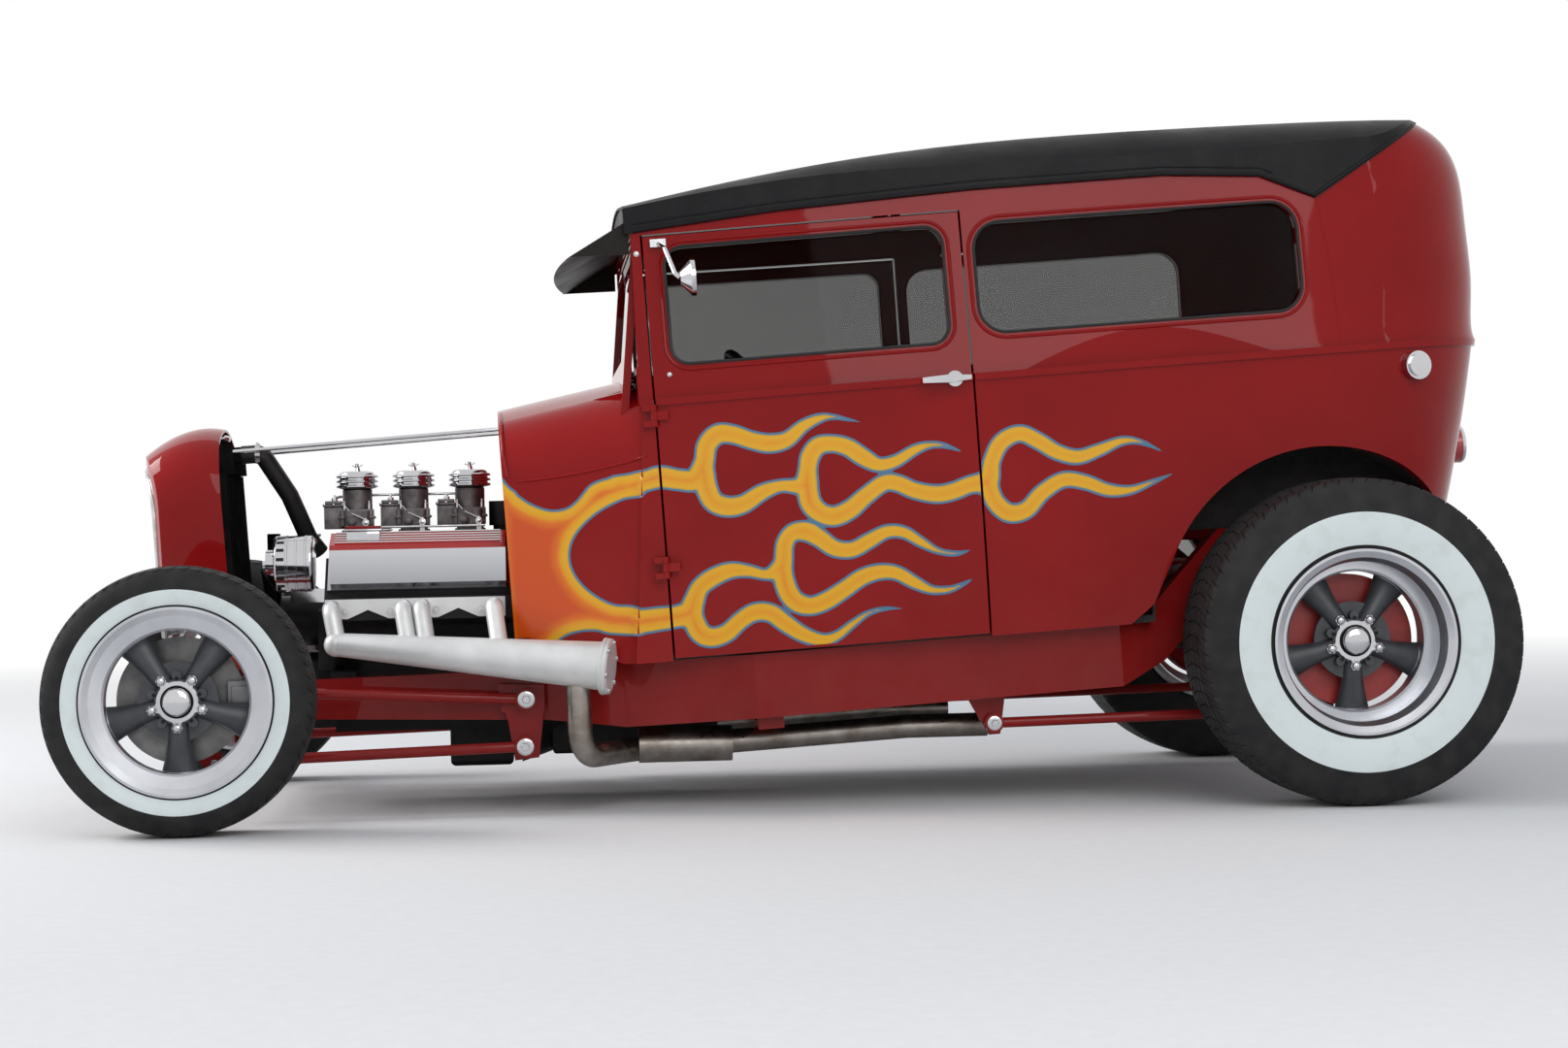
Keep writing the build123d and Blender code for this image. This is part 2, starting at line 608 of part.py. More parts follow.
def radiator():
    """Core, tanks, filler neck and lower feet of the radiator."""
    core = block(core_front_x, core_rear_x, -core_half, core_half, core_low_z, core_top_z)
    tank = block(core_front_x - 6, core_rear_x + 15, -tank_half, tank_half, core_top_z, tank_top_z)
    tank = fillet(tank.edges().filter_by(Axis.Y).group_by(Axis.Z)[-1], 24)
    neck = Pos(core_rear_x + 2, -hose_y, 0) * Pos(0, 0, 844) * Rot(0, 90, 0) * Cylinder(20, 60)
    cap = Pos(core_rear_x - 30, 0, tank_top_z) * Cylinder(24, 24)
    foot = block(-20, core_front_x + 30, -170, -90, perch_top_z, perch_top_z + 12)
    foot = foot + block(core_front_x, core_front_x + 30, -170, -90, perch_top_z, core_low_z)
    ears = block(core_front_x + 6, core_front_x + 46, -260, 260, 520, 560) & Solid.make_loft(
        [shell_wire(row, shell_t + fit_gap) for row in shell_stations], False)
    return core + tank + neck + cap + ears + foot + mirror(foot, about=Plane.XZ)


hose_y = 110.0


def radiator_hose():
    """Upper hose from the radiator's neck down to the thermostat housing, level frame."""
    points = [(88, -hose_y, 850.7), (135, -hose_y, 853.5), (196, -64, 752), (236, -18, 648), (262, 0, 612)]
    return bent_rod(points, 28, 22)


def stay_rods():
    """Two thin rods from the radiator to the cowl, body frame."""
    start_x = core_rear_x + 15
    return both_sides(rod((start_x + fit_gap, -150, tank_top_z - 20), (cowl_front_x, -150, 858), 5))


# Engine, level frame. x0 and x1 are the ends of the block.
engine_x0 = 290.0
engine_x1 = 745.0
crank_z = 290.0
cover_x0 = 297.0
cover_x1 = 724.0
carb_places = (355.0, 492.0, 629.0)
cleaner_low_z = 763.0
cleaner_h = 46.0
cleaner_r = 52.0
port_places = (309.0, 476.0, 519.0, 687.0)
port_z = 480.0
header_y = 300.0
block_outline = [(0, 236), (130, 236), (150, 330), (255, 436), (header_y, 452), (header_y, 505), (284, 521),
                 (206, 599), (120, 560), (66, 520), (0, 520)]


def full_outline(half_outline):
    """A closed outline from its right-hand half."""
    return half_outline + [(-y, z) for y, z in reversed(half_outline) if y > 0]


def along_x(outline, x0, x1):
    """A closed (y, z) outline from x0 to x1."""
    face = make_face(Polyline(*[(x0, y, z) for y, z in outline], close=True))
    return extrude(face, amount=x1 - x0, dir=(1, 0, 0))


def engine_block():
    """Block and both heads in one section, with the timing cover, the distributor and the mounts."""
    body = along_x(full_outline(block_outline), engine_x0, engine_x1)
    timing = along_x(full_outline([(0, 240), (110, 240), (120, 330), (70, 470), (0, 500)]), engine_x0 - 30, engine_x0)
    pump = Pos(engine_x0 - 60, 0, fan_z) * Rot(0, 90, 0) * Cylinder(62, 80)
    distributor = Pos(engine_x1 - 32, 0, 0) * (Pos(0, 0, 600) * Cylinder(28, 170) + Pos(0, 0, 700) * Cylinder(38, 60))
    mounts = block(engine_x0 + 10, engine_x0 + 70, -mount_half, mount_half, 300, 330)
    return body + timing + pump + distributor + mounts


mount_half = 298.8
fan_z = 447.0


def tilted_cover(width, height, x0, x1, lift):
    """A box on the left head, 45 degrees over, raised by lift from the head's face."""
    half = width / 2
    k = sin(radians(45))
    centre_y, centre_z = -245.0, 560.0
    corners = [(-half, lift), (half, lift), (half, lift + height), (-half, lift + height)]
    outline = [(centre_y - (u + v) * k, centre_z + (v - u) * k) for u, v in corners]
    return along_x(outline, x0, x1)


crown_outer = (312.0, 630.0)
crown_inner = (232.0, 658.0)
fin_count = 5
fin_h = 5.0
fin_t = 4.0


def valve_covers():
    """The two valve covers: a foot flange, a tall flat side and a low crown with fins along it."""
    foot = tilted_cover(118, 8, cover_x0, cover_x1, fit_gap)
    outline = [(282, 530), (318, 539), (322, 618), crown_outer, crown_inner, (216, 650), (208, 604)]
    hood = along_x([(-y, z) for y, z in outline], cover_x0 + 8, cover_x1 - 8)
    cover = foot + hood
    for step in range(fin_count):
        share = (step + 0.5) / fin_count
        y = crown_outer[0] + (crown_inner[0] - crown_outer[0]) * share
        z = crown_outer[1] + (crown_inner[1] - crown_outer[1]) * share
        cover = cover + block(cover_x0 + 20, cover_x1 - 20, -y - fin_t / 2, -y + fin_t / 2, z - fin_h, z + fin_h)
    return both_sides(cover)


def intake_manifold():
    """The valley cover with a plenum and a pad under each carburettor."""
    base = along_x(full_outline([(0, 520 + fit_gap), (60, 520 + fit_gap), (118, 558 + 4), (150, 588), (110, 612),
                                 (0, 618)]), engine_x0 + 30, engine_x1 - 90)
    for x in carb_places:
        base = base + block(x - 42, x + 42, -66, 66, 600, 645)
    return base


def carburettors():
    """Three carburettors: a bowl body, a throttle base and a round throat each."""
    units = []
    for x in carb_places:
        base = block(x - 38, x + 38, -58, 58, 645, 660)
        bowl = block(x - 32, x + 32, -52, 52, 660, 712)
        bowl = fillet(bowl.edges().filter_by(Axis.Z), 12)
        throat = Pos(x, 0, (712 + cleaner_low_z) / 2 - 4) * Cylinder(36, cleaner_low_z - 712 + 8 - fit_gap)
        units.append(base + bowl + throat)
    return units


def air_cleaners():
    """Three round air cleaners with a wing nut."""
    units = []
    for x in carb_places:
        can = Pos(x, 0, cleaner_low_z + cleaner_h / 2) * Cylinder(cleaner_r, cleaner_h)
        can = fillet(can.edges().group_by(Axis.Z)[-1], 8)
        stud = Pos(x, 0, cleaner_low_z + cleaner_h + 6) * Cylinder(4, 14)
        wings = block(x - 14, x + 14, -2, 2, cleaner_low_z + cleaner_h + 4, cleaner_low_z + cleaner_h + 14)
        units.append(can + stud + wings)
    return units


# Header: flange on the head, four tubes into a cone that runs back outside the cowl
cone_start = Vector(322.0, -392.0, 400.0)
cone_end = Vector(939.0, -545.0, 342.0)
cone_start_r = 27.0
cone_end_r = 56.0
tube_r = 20.4
tube_rake = 16.0


def header():
    """The left header: flange plate, four bent tubes, the collecting cone and its bolted end cap."""
    flange = plate_y([(292, 502), (713, 502), (713, 456), (650, 456), (603, 477), (555, 456), (440, 456), (392, 477),
                      (345, 456), (292, 456)], -header_y - 10 - fit_gap, -header_y - fit_gap)
    direction = cone_end - cone_start
    cone_plane = Plane(origin=cone_start + direction * 0.5, z_dir=direction)
    cone = cone_plane * Cone(cone_start_r, cone_end_r, direction.length)
    manifold = flange + cone + Pos(*cone_start) * Sphere(cone_start_r + 1.5)
    for x in port_places:
        share = (x + tube_rake - cone_start.X) / direction.X
        target = cone_start + direction * share
        path = [(x, -header_y - 4, port_z), (x, (target.Y - header_y) / 2 - 24, port_z + 2),
                (target.X, target.Y, target.Z)]
        manifold = manifold + bent_rod(path, 24, tube_r)
    cap_plane = Plane(origin=cone_end, z_dir=direction)
    return manifold + cap_plane * Pos(0, 0, 6) * Cylinder(cone_end_r + 8, 14)


pipe_r = 28.0
pipe_start = Vector(876.0, -527.0, 330.0)
tailpipe_x = 1850.0
tail_straight = 190.0
silencer_r = 42.0
pipe_y = 330.0
pipe_z = 148.0


def exhaust_pipe():
    """The left pipe: down from the cone, under the rail and back, with a slim silencer and a turned tip."""
    points = [tuple(pipe_start), (882, -522, pipe_z - 14), (1010, -pipe_y, pipe_z - 14),
              (1240, -pipe_y, pipe_z), (tailpipe_x - tail_straight, -pipe_y, pipe_z + 24),
              (tailpipe_x, -pipe_y, pipe_z + 24)]
    pipe = bent_rod(points, 60, pipe_r)
    return pipe + Pos(1130, -pipe_y, pipe_z - 4) * Rot(0, 90, 0) * Cylinder(silencer_r, 220)


def alternator():
    """The alternator beside the timing cover with its bracket and pulley."""
    body = Pos(216, alternator_y, alternator_z) * Rot(0, 90, 0) * Cylinder(67, 92)
    body = fillet(body.edges(), 8)
    pulley = Pos(160, alternator_y, alternator_z) * Rot(0, 90, 0) * Cylinder(34, 22)
    bracket = block(205, engine_x0 + 4, alternator_y - 12, alternator_y + 12, alternator_z - 92, alternator_z - 60)
    bracket = bracket - block(engine_x0 - fit_gap, engine_x0 + 20, -400, 0, 300, 700)
    return body + pulley + bracket


alternator_y = -205.0
alternator_z = 587.0
crank_pulley_r = 82.0


def fan():
    """The belt-driven fan on the pump's nose: hub, pulley and six blades."""
    hub = Pos(engine_x0 - 118, 0, fan_z) * Rot(0, 90, 0) * Cylinder(30, 36)
    pulley = Pos(engine_x0 - 112, 0, fan_z) * Rot(0, 90, 0) * Cylinder(60, 24)
    rotor = hub + pulley
    for step in range(6):
        blade = Pos(0, 0, 118) * Rot(0, 0, 32) * Box(4, 62, 190)
        rotor = rotor + Pos(engine_x0 - 140, 0, fan_z) * Rot(60 * step, 0, 0) * blade
    nose_boss = Pos(engine_x0 - 134, 0, fan_z) * Rot(0, 90, 0) * Cylinder(34, 26)
    return rotor + nose_boss


def crank_pulley():
    """The crankshaft pulley ahead of the timing cover."""
    return Pos(engine_x0 - 30 - fit_gap - 14, 0, crank_z) * Rot(0, 90, 0) * Cylinder(crank_pulley_r, 28)


pan_x0 = 573.0
pan_x1 = engine_x1 - 20
pan_low_z = 88.0
gearbox_z = 265.0
bell_r = 178.0
gearbox_end_x = 1241.0
tail_end_x = 1420.0
clutch_cover_x = engine_x1 + fit_gap


def oil_pan():
    """The engine's oil pan: shallow rail in front and a deep sump behind."""
    rail = block(engine_x0 + 10, engine_x1 - 4, -125, 125, 180, 236 - fit_gap)
    sump = block(pan_x0, pan_x1, -112, 112, pan_low_z, 182)
    sump = fillet(sump.edges().group_by(Axis.Z)[0], 14)
    return rail + sump


def gearbox():
    """Bell housing, gearbox case with its ribbed pan, and the tail housing."""
    bell = Pos(clutch_cover_x + 55, 0, gearbox_z) * Rot(0, 90, 0) * Cone(bell_r, 140, 110)
    case = Pos((clutch_cover_x + gearbox_end_x) / 2, 0, gearbox_z) * Rot(0, 90, 0) * Cone(
        128, 92, gearbox_end_x - clutch_cover_x)
    low = block(820, gearbox_end_x - 20, -120, 120, 112, 190)
    low = fillet(low.edges().group_by(Axis.Z)[0], 10)
    return bell + case + gearbox_tail(0) + low


def gearbox_tail(grow):
    """The gearbox's tail housing, grown all round."""
    return Pos((gearbox_end_x + tail_end_x) / 2, 0, gearbox_z) * Rot(0, 90, 0) * Cone(
        66 + grow, 46 + grow, tail_end_x - gearbox_end_x + 4)


# Front suspension, level frame
kingpin_y = -(front.track / 2 - 95.0)
axle_drop_z = 232.0
axle_r = 27.0
eye_r = 22.0
eye_h = 60.0
kingpin_r = 10.0
link_y = 430.0
tie_rod_z = 205.0
arm_end_x = 120.0
arm_end_y = kingpin_y
tie_rod_r = 10.0


def front_axle():
    """The dropped tube axle with its kingpin eyes, rod brackets and the cross leaf spring above it."""
    z = front.tyre_r
    path = [(0, kingpin_y, z), (0, kingpin_y + 62, z - 2), (0, -455, axle_drop_z), (0, -300, axle_drop_z)]
    arm = bent_rod(path, 40, axle_r)
    eye = Pos(0, kingpin_y, z) * Cylinder(eye_r + 6, eye_h) - Pos(0, kingpin_y, z) * Cylinder(
        kingpin_r + fit_gap, eye_h + 10)
    arm = arm - Pos(0, kingpin_y, z) * Cylinder(eye_r, 120) + eye
    plate = plate_y([(-34, 200), (30, 118), (60, 118), (60, 156), (34, 232), (60, 284), (60, 318), (26, 318),
                     (-34, 262)], -link_y - 26, -link_y - 16)
    arm = arm + plate
    axle = arm + mirror(arm, about=Plane.XZ) + rod((0, -305, axle_drop_z), (0, 305, axle_drop_z), axle_r)
    for half, z0 in ((150.0, 308.0), (90.0, 318.0)):
        axle = axle + block(-28, 28, -half, half, z0, z0 + 11)
    leaf = [(-264, 276), (-160, 298), (0, 304), (160, 298), (264, 276), (264, 286), (160, 309), (0, 315),
            (-160, 309), (-264, 286)]
    leaf_face = make_face(Polyline(*[(-28, y, zz) for y, zz in leaf], close=True))
    axle = axle + extrude(leaf_face, amount=56, dir=(1, 0, 0))
    for side in (-1, 1):
        axle = axle + block(-20, 20, side * 254 - 10, side * 254 + 10, axle_drop_z + 15, 280)
    return axle


def knuckle():
    """The left steering knuckle: two ears on the kingpin, spindle, caliper bracket with caliper, steering arm."""
    z = front.tyre_r
    pin = Pos(0, kingpin_y, z) * Cylinder(kingpin_r, eye_h + 2 + 40)
    ears = None
    for side in (-1, 1):
        ear = Pos(0, kingpin_y, z + side * (eye_h / 2 + 1 + 10)) * Cylinder(eye_r, 20)
        yoke = block(-eye_r, eye_r, kingpin_y - 58, kingpin_y, z + side * (eye_h / 2 + 11) - 10,
                     z + side * (eye_h / 2 + 11) + 10)
        ears = ear + yoke if ears is None else ears + ear + yoke
    back = block(-eye_r, eye_r, kingpin_y - 58, kingpin_y - 36, z - eye_h / 2 - 21, z + eye_h / 2 + 21)
    spindle_end = -front.track / 2 - (front.lip - front.dish) + 10
    spindle = disc_y(0, z, spindle_r, spindle_end, kingpin_y - 40)
    arm = rod((0, kingpin_y - 40, z - 42), (arm_end_x, arm_end_y, tie_rod_z + 26), 13)
    boss = Pos(arm_end_x, arm_end_y, tie_rod_z + 26) * Cylinder(16, 20)
    stud = Pos(arm_end_x, arm_end_y, tie_rod_z + 6) * Cylinder(5, 28)
    carrier = block(eye_r - 6, 118, kingpin_y - 54, kingpin_y - 44, z - 28, z + 28)
    inboard = block(96, 162, disc_face_y + disc_t + 5, kingpin_y - 40, z - 46, z + 46)
    bridge = block(disc_r + 6, 162, disc_face_y - 15, disc_face_y + disc_t + 6, z - 46, z + 46)
    outboard = block(104, 162, disc_face_y - 15, disc_face_y - 5, z - 40, z + 40)
    return pin + ears + back + spindle + arm + boss + stud + carrier + inboard + bridge + outboard


disc_r = 140.0
disc_t = 20.0
disc_face_y = -front.track / 2 + 14.0


def tie_rod():
    """The bar between the two steering arms, with an eye round each stud."""
    bar = rod((arm_end_x, arm_end_y + 14, tie_rod_z), (arm_end_x, -arm_end_y - 14, tie_rod_z), tie_rod_r)
    for side in (-1, 1):
        eye = Pos(arm_end_x, side * arm_end_y, tie_rod_z) * (
            Cylinder(16, 22) - Cylinder(5 + fit_gap, 30))
        bar = bar + eye
    return bar


def radius_rods():
    """Two rods on each side from the axle's brackets back to the frame's brackets."""
    parts = []
    for (x0, z0), (x1, z1) in (((49.0, 300.0), (758.0, 265.0)), ((45.0, 137.0), (754.0, 155.0))):
        bar = rod((x0 + 10, -link_y, z0), (x1 - 10, -link_y, z1), 12.5)
        front_eye = disc_y(x0, z0, 20, -link_y - 16 + fit_gap, -link_y + 16)
        rear_eye = disc_y(x1, z1, 24, -link_y - 16, -link_y + 16)
        parts.append(bar + front_eye + rear_eye)
    return parts


def radius_brackets():
    """The plates under the rails that the radius rods bolt to."""
    plate = plate_y([(690, 300), (800, 296), (800, 250), (786, 128), (730, 122), (716, 210)],
                    -link_y + 16 + fit_gap, -link_y + 26)
    foot = block(700, 800, -link_y + 16 + fit_gap, -340, 235, 250)
    return plate + foot


# Rear axle, level frame
drum_r = 150.0
drum_in = 86.0
drum_hat = 26.0
hub_back = rear.lip - rear.dish - hub_depth
housing_r = 40.0
nose_reach = 205.0
bar_y = 510.0


def rear_axle():
    """Axle housing with its centre casing, backing plates, spindles and the trailing bars' brackets."""
    z, x = rear.tyre_r, rear.x
    plate_out = -rear.track / 2 - hub_back + drum_in + panel_gap
    housing = disc_y(x, z, housing_r, plate_out, -plate_out)
    nose = Pos(x - nose_reach + 75, 0, z) * Rot(0, 90, 0) * Cone(44, 80, 150)
    centre = Pos(x, 0, z) * Sphere(135) + nose
    axle = housing + centre
    for side in (-1, 1):
        axle = axle + disc_y(x, z, drum_r - 6, side * -plate_out, side * (-plate_out - 8))
        end = rear.track / 2 + (rear.lip - rear.dish) - 10
        axle = axle + disc_y(x, z, spindle_r, side * (-plate_out - 20), side * end)
        axle = axle + block(x - 60, x + 20, side * (bar_y - 18) - 5, side * (bar_y - 18) + 5, z - 190, z)
    return axle


def trailing_bars():
    """The bars from under the rails back to the rear axle."""
    bar = rod((1850, -bar_y, 187), (rear.x - 44, -bar_y, 200), 12)
    front_eye = disc_y(1838, 187, 22, -bar_y - 16, -bar_y + 13)
    rear_eye = disc_y(rear.x - 34, 200, 22, -bar_y - 16, -bar_y + 13 - fit_gap)
    return bar + front_eye + rear_eye


def trailing_brackets():
    """The triangular plates under the rails at the trailing bars' front eyes, body frame."""
    return plate_y([(1790, 141), (1880, 141), (1862, 50), (1836, 50)], -bar_y + 13 + fit_gap, -bar_y + 24)


def drive_shaft():
    """The tube from the gearbox's tail to the rear axle's nose, cut square where it meets them."""
    tube = rod((tail_end_x - 20, 0, gearbox_z), (rear.x - 180, 0, rear.tyre_r), 36)
    return tube & block(tail_end_x + 2 + fit_gap, rear.x - nose_reach - fit_gap, -60, 60, 200, 440)


def tyre(axle):
    """A tyre round its rim, outboard towards -Y, on its wheel's centre."""
    half, bead = axle.tyre_w / 2, axle.lip - flange_t - fit_gap
    r = axle.tyre_r
    section = Wire([
        Line((0, bead, bead_seat_r + fit_gap), (0, bead, rim_r)),
        ThreePointArc((0, bead, rim_r), (0, half, rim_r + 0.38 * (r - rim_r)), (0, half - 12, r - 13)),
        ThreePointArc((0, half - 12, r - 13), (0, half - 18, r - 5), (0, half - 30, r - 2.5)),
        ThreePointArc((0, half - 30, r - 2.5), (0, 0, r), (0, 30 - half, r - 2.5)),
        ThreePointArc((0, 30 - half, r - 2.5), (0, 18 - half, r - 5), (0, 12 - half, r - 13)),
        ThreePointArc((0, 12 - half, r - 13), (0, -half, rim_r + 0.38 * (r - rim_r)), (0, -bead, rim_r)),
        Line((0, -bead, rim_r), (0, -bead, bead_seat_r + fit_gap)),
        Line((0, -bead, bead_seat_r + fit_gap), (0, bead, bead_seat_r + fit_gap)),
    ])
    return revolve(Face(section), Axis.Y)


def spoke_wire(r, width, crest_y, back_y):
    """A spoke's D-shaped section at one radius, its crest towards -Y."""
    return Wire([
        Line((-width / 2, back_y, r), (width / 2, back_y, r)),
        ThreePointArc((width / 2, back_y, r), (0, crest_y, r), (-width / 2, back_y, r)),
    ])


def wheel(axle):
    """A wheel on its own centre: stepped rim, five crowned spokes, hub, lobed cap and lug nuts."""
    lip, hub = axle.lip, axle.lip - axle.dish
    back = -(hub - hub_depth)
    hoop_front = -hub - 12
    barrel = [(hoop_front, barrel_r), (40 - lip, barrel_r), (14 - lip, barrel_r + 9)] if 40 - lip < hoop_front else []
    rim = turned_y([(-lip, rim_r), (flange_t - lip, rim_r), (flange_t - lip, bead_seat_r),
                    (lip - flange_t, bead_seat_r), (lip - flange_t, rim_r), (lip, rim_r), (lip, rim_r - 8),
                    (lip - 16, barrel_r + 6), (lip - 40, barrel_r), (back, barrel_r), (back - 4, hoop_r),
                    (hoop_front + 5, hoop_r), (hoop_front, hoop_r + 5), *barrel, (9 - lip, barrel_r + 9),
                    (-lip, rim_r - 6)])
    disc = disc_y(0, 0, hub_flange_r, back - 14, back)
    boss = disc_y(0, 0, 50, -hub + 6, back)
    body = rim + disc + boss
    for step in range(spoke_count):
        spoke = Solid.make_loft([
            spoke_wire(30, 34, -hub + 3, back - 2),
            spoke_wire(95, 52, -hub + 8, back - 4),
            spoke_wire(barrel_r + 5, 100, -hub + 24, back + 12),
        ], False)
        body = body + Rot(0, 180 + 360 / spoke_count * step, 0) * spoke
    ring = disc_y(0, 0, 45, -hub, -hub + 8)
    for step in range(spoke_count):
        turn = Rot(0, 180 + 360 / spoke_count * step, 0)
        ring = ring + turn * disc_y(0, 48, 11, -hub, -hub + 8)
        ring = ring + turn * Rot(0, 180 / spoke_count, 0) * disc_y(0, bolt_circle_r, lug_r, -hub + 4, back - 10)
    cap = turned_y([(-hub - 12, 0), (-hub - 11, 14), (-hub - 6, cap_r - 4), (-hub + 4, cap_r), (-hub + 8, cap_r),
                    (-hub + 8, 0)])
    bore = disc_y(0, 0, spindle_r + fit_gap, -hub + 9, back + 10)
    return body + ring + cap - bore


def front_brake():
    """The front disc with its hat, bolted to the wheel's back."""
    hub_face = -(front.lip - front.dish - hub_depth)
    inner = disc_face_y + front.track / 2
    disc = disc_y(0, 0, disc_r, inner, inner + disc_t)
    hat = disc_y(0, 0, 74, hub_face, inner + disc_t)
    return disc + hat - disc_y(0, 0, spindle_r + fit_gap, -100, 200)


def rear_brake():
    """The rear drum with its cooling fins, bolted to the wheel's back."""
    fins = []
    y = drum_hat - hub_back
    steps = 5
    pitch = (drum_in - drum_hat) / steps
    for step in range(steps):
        fins += [(y + step * pitch, drum_r - 12), (y + step * pitch, drum_r),
                 (y + (step + 0.5) * pitch, drum_r), (y + (step + 0.5) * pitch, drum_r - 12)]
    drum = turned_y([(y, 0)] + fins + [(y + steps * pitch, drum_r - 12), (y + steps * pitch, 0)])
    drum = drum + disc_y(0, 0, 74, -hub_back, y)
    return drum - disc_y(0, 0, spindle_r + fit_gap, -200, 200)


# Cabin, body frame
wheel_centre = (1412.0, -330.0, 846.0)
column_slope = 35.0
hand_wheel_r = 170.0
hand_rim_r = 13.0
column_r = 20.0
shaft_r = 10.0
column_plane = Plane(origin=wheel_centre, z_dir=(cos(radians(column_slope)), 0, sin(radians(column_slope))))


def dashboard():
    """Instrument board behind the bulkhead, with the steering column through the firewall."""
    board = block(1100 + fit_gap, 1112, -480, 480, 800, 930)
    gauges = board
    for y in (-420.0, -330.0, -240.0):
        gauges = gauges + Pos(1112, y, 868) * Rot(0, 90, 0) * Cylinder(34, 12)
    length = 760.0
    column = column_plane * Pos(0, 0, -length / 2 - 26) * Cylinder(column_r, length)
    shaft = column_plane * Pos(0, 0, -30) * Cylinder(shaft_r, 80)
    column = column + shaft - block(0, firewall_x + firewall_t + fit_gap, -900, 900, 0, 1000)
    hanger = block(1100 + fit_gap, 1110, wheel_centre[1] - 16, wheel_centre[1] + 16, 630, 800)
    return gauges + hanger + column


def steering_wheel():
    """Rim, three spokes and hub of the steering wheel."""
    ring = Torus(hand_wheel_r, hand_rim_r)
    hub = Cylinder(32, 40)
    spin = ring + hub
    for turn in (90.0, 210.0, 330.0):
        spin = spin + Rot(0, 0, turn) * Pos(hand_wheel_r / 2, 0, 0) * Box(hand_wheel_r, 20, 6)
    spin = spin - Pos(0, 0, -20) * Cylinder(shaft_r + fit_gap, 64)
    return column_plane * spin


def front_seat():
    """Bench on its riser with a leaning back."""
    riser = block(1520, 1960, -480, 480, floor_z + floor_t, 400)
    tunnel_room = Pos(1500, 0, tunnel_z) * Rot(0, 90, 0) * Cylinder(tunnel_r - 30, 1200)
    cushion = block(1480, 1985, -510, 510, 400 + fit_gap, 540)
    cushion = fillet(cushion.edges().group_by(Axis.Z)[-1], 40)
    back = plate_y([(1900, 540 + fit_gap), (2000, 540 + fit_gap), (2110, 948), (2020, 948)], -510, 510)
    back = fillet(back.edges().group_by(Axis.Z)[-1], 30)
    return [riser - tunnel_room, cushion, back]


def rear_seat():
    """Short rear bench between the wheelhouses."""
    half = tub_inner_y - tub_t - 8
    cushion = block(2310, 2700, -half, half, deck_z + fit_gap, 630)
    cushion = fillet(cushion.edges().group_by(Axis.Z)[-1], 35)
    back = plate_y([(2700 + fit_gap, deck_z + fit_gap), (2800, deck_z + fit_gap), (2880, 930), (2790, 930)],
                   -half, half)
    back = fillet(back.edges().group_by(Axis.Z)[-1], 30)
    return [cushion, back]


handle_x = 1798.0
handle_z = 876.0
handle_y = -lower_levels[2].door - belt_proud


def door_handle():
    """The left door's outside handle: round plate, stem and lever."""
    rose = disc_y(handle_x, handle_z, 18, handle_y - 6, handle_y + 20)
    rose = rose - lower_body(-belt_proud - fit_gap) - upper_walls(-fit_gap)
    stem = disc_y(handle_x, handle_z, 8, handle_y - 26, handle_y - 4)
    lever = plate_y([(handle_x - 78, handle_z - 6), (handle_x - 20, handle_z - 9), (handle_x + 34, handle_z - 5),
                     (handle_x + 34, handle_z + 5), (handle_x - 20, handle_z + 9), (handle_x - 78, handle_z + 6)],
                    handle_y - 34, handle_y - 24)
    return rose + stem + lever


def door_mirror():
    """The round mirror on its arm at the top front corner of the left door."""
    foot = block(1136, 1172, -556, -530, 1231, 1249) - upper_walls(-fit_gap)
    arm = bent_rod([(1154, -548, 1240), (1168, -590, 1222), (1184, -636, 1160), (1194, -642, 1150)], 8, 6)
    head = Pos(1206, -646, 1149) * Rot(0, 90, 0) * Cone(16, 42, 24)
    rim = Pos(1222, -646, 1149) * Rot(0, 90, 0) * Cylinder(42, 10)
    return foot + arm + head + rim


def tail_lamps():
    """Round lamps low on the rear panel."""
    lamp = Pos(3052, -270, 640) * Rot(0, 90, 0) * Cylinder(46, 60)
    lens = Pos(3078, -270, 640) * Rot(0, 90, 0) * Cylinder(38, 20)
    return both_sides(lamp + lens - lower_body(-fit_gap))


def fuel_cap():
    """The round cap on the left rear corner."""
    turn = 15.0
    at_cap = Pos(2874, -616, 827) * Rot(0, 0, turn) * Rot(90, 0, 0)
    cap = at_cap * Cylinder(33, 50) + at_cap * Pos(0, 0, 20) * Cylinder(26, 22)
    return cap - lower_body(-fit_gap)


def sound_solids(shapes):
    """All solids of a shape or of a list of shapes."""
    group = shapes if isinstance(shapes, (list, tuple)) else [shapes]
    return [solid for shape in group for solid in shape.solids()]


def save(node, shapes):
    """Write one node's solids to its file."""
    export_step(Compound(children=sound_solids(shapes)), f"parts/{node}.step")


def place_wheel(shape, axle, side):
    """Put a wheel-centred left-hand shape on its axle end."""
    placed = Pos(axle.x, -axle.track / 2, axle.tyre_r) * shape
    return level(placed if side == "left" else mirror(placed, about=Plane.XZ))


def frame_assembly():
    """Rails, crossmembers and brackets of the frame in the car's frame."""
    pad = raked(block(1308, 1352, -34, 34, 118, 150)) - level(gearbox_tail(fit_gap))
    frame = raked(frame_rails()) + pad
    for bracket in both_sides(level(radius_brackets())) + both_sides(raked(trailing_brackets())):
        frame = frame + bracket
    return frame


def exhaust_pair():
    """Both exhaust pipes, each cut to the underside of its cone."""
    direction = cone_end - cone_start
    grown = Plane(origin=cone_start + direction * 0.5, z_dir=direction) * Cone(
        cone_start_r + fit_gap, cone_end_r + fit_gap, direction.length)
    return both_sides(exhaust_pipe() - grown)


os.makedirs("parts", exist_ok=True)

left_door = door_panel()
left_pane = pane(door_pane_prism)
left_quarter = quarter_panel()
left_knuckle = level(knuckle())

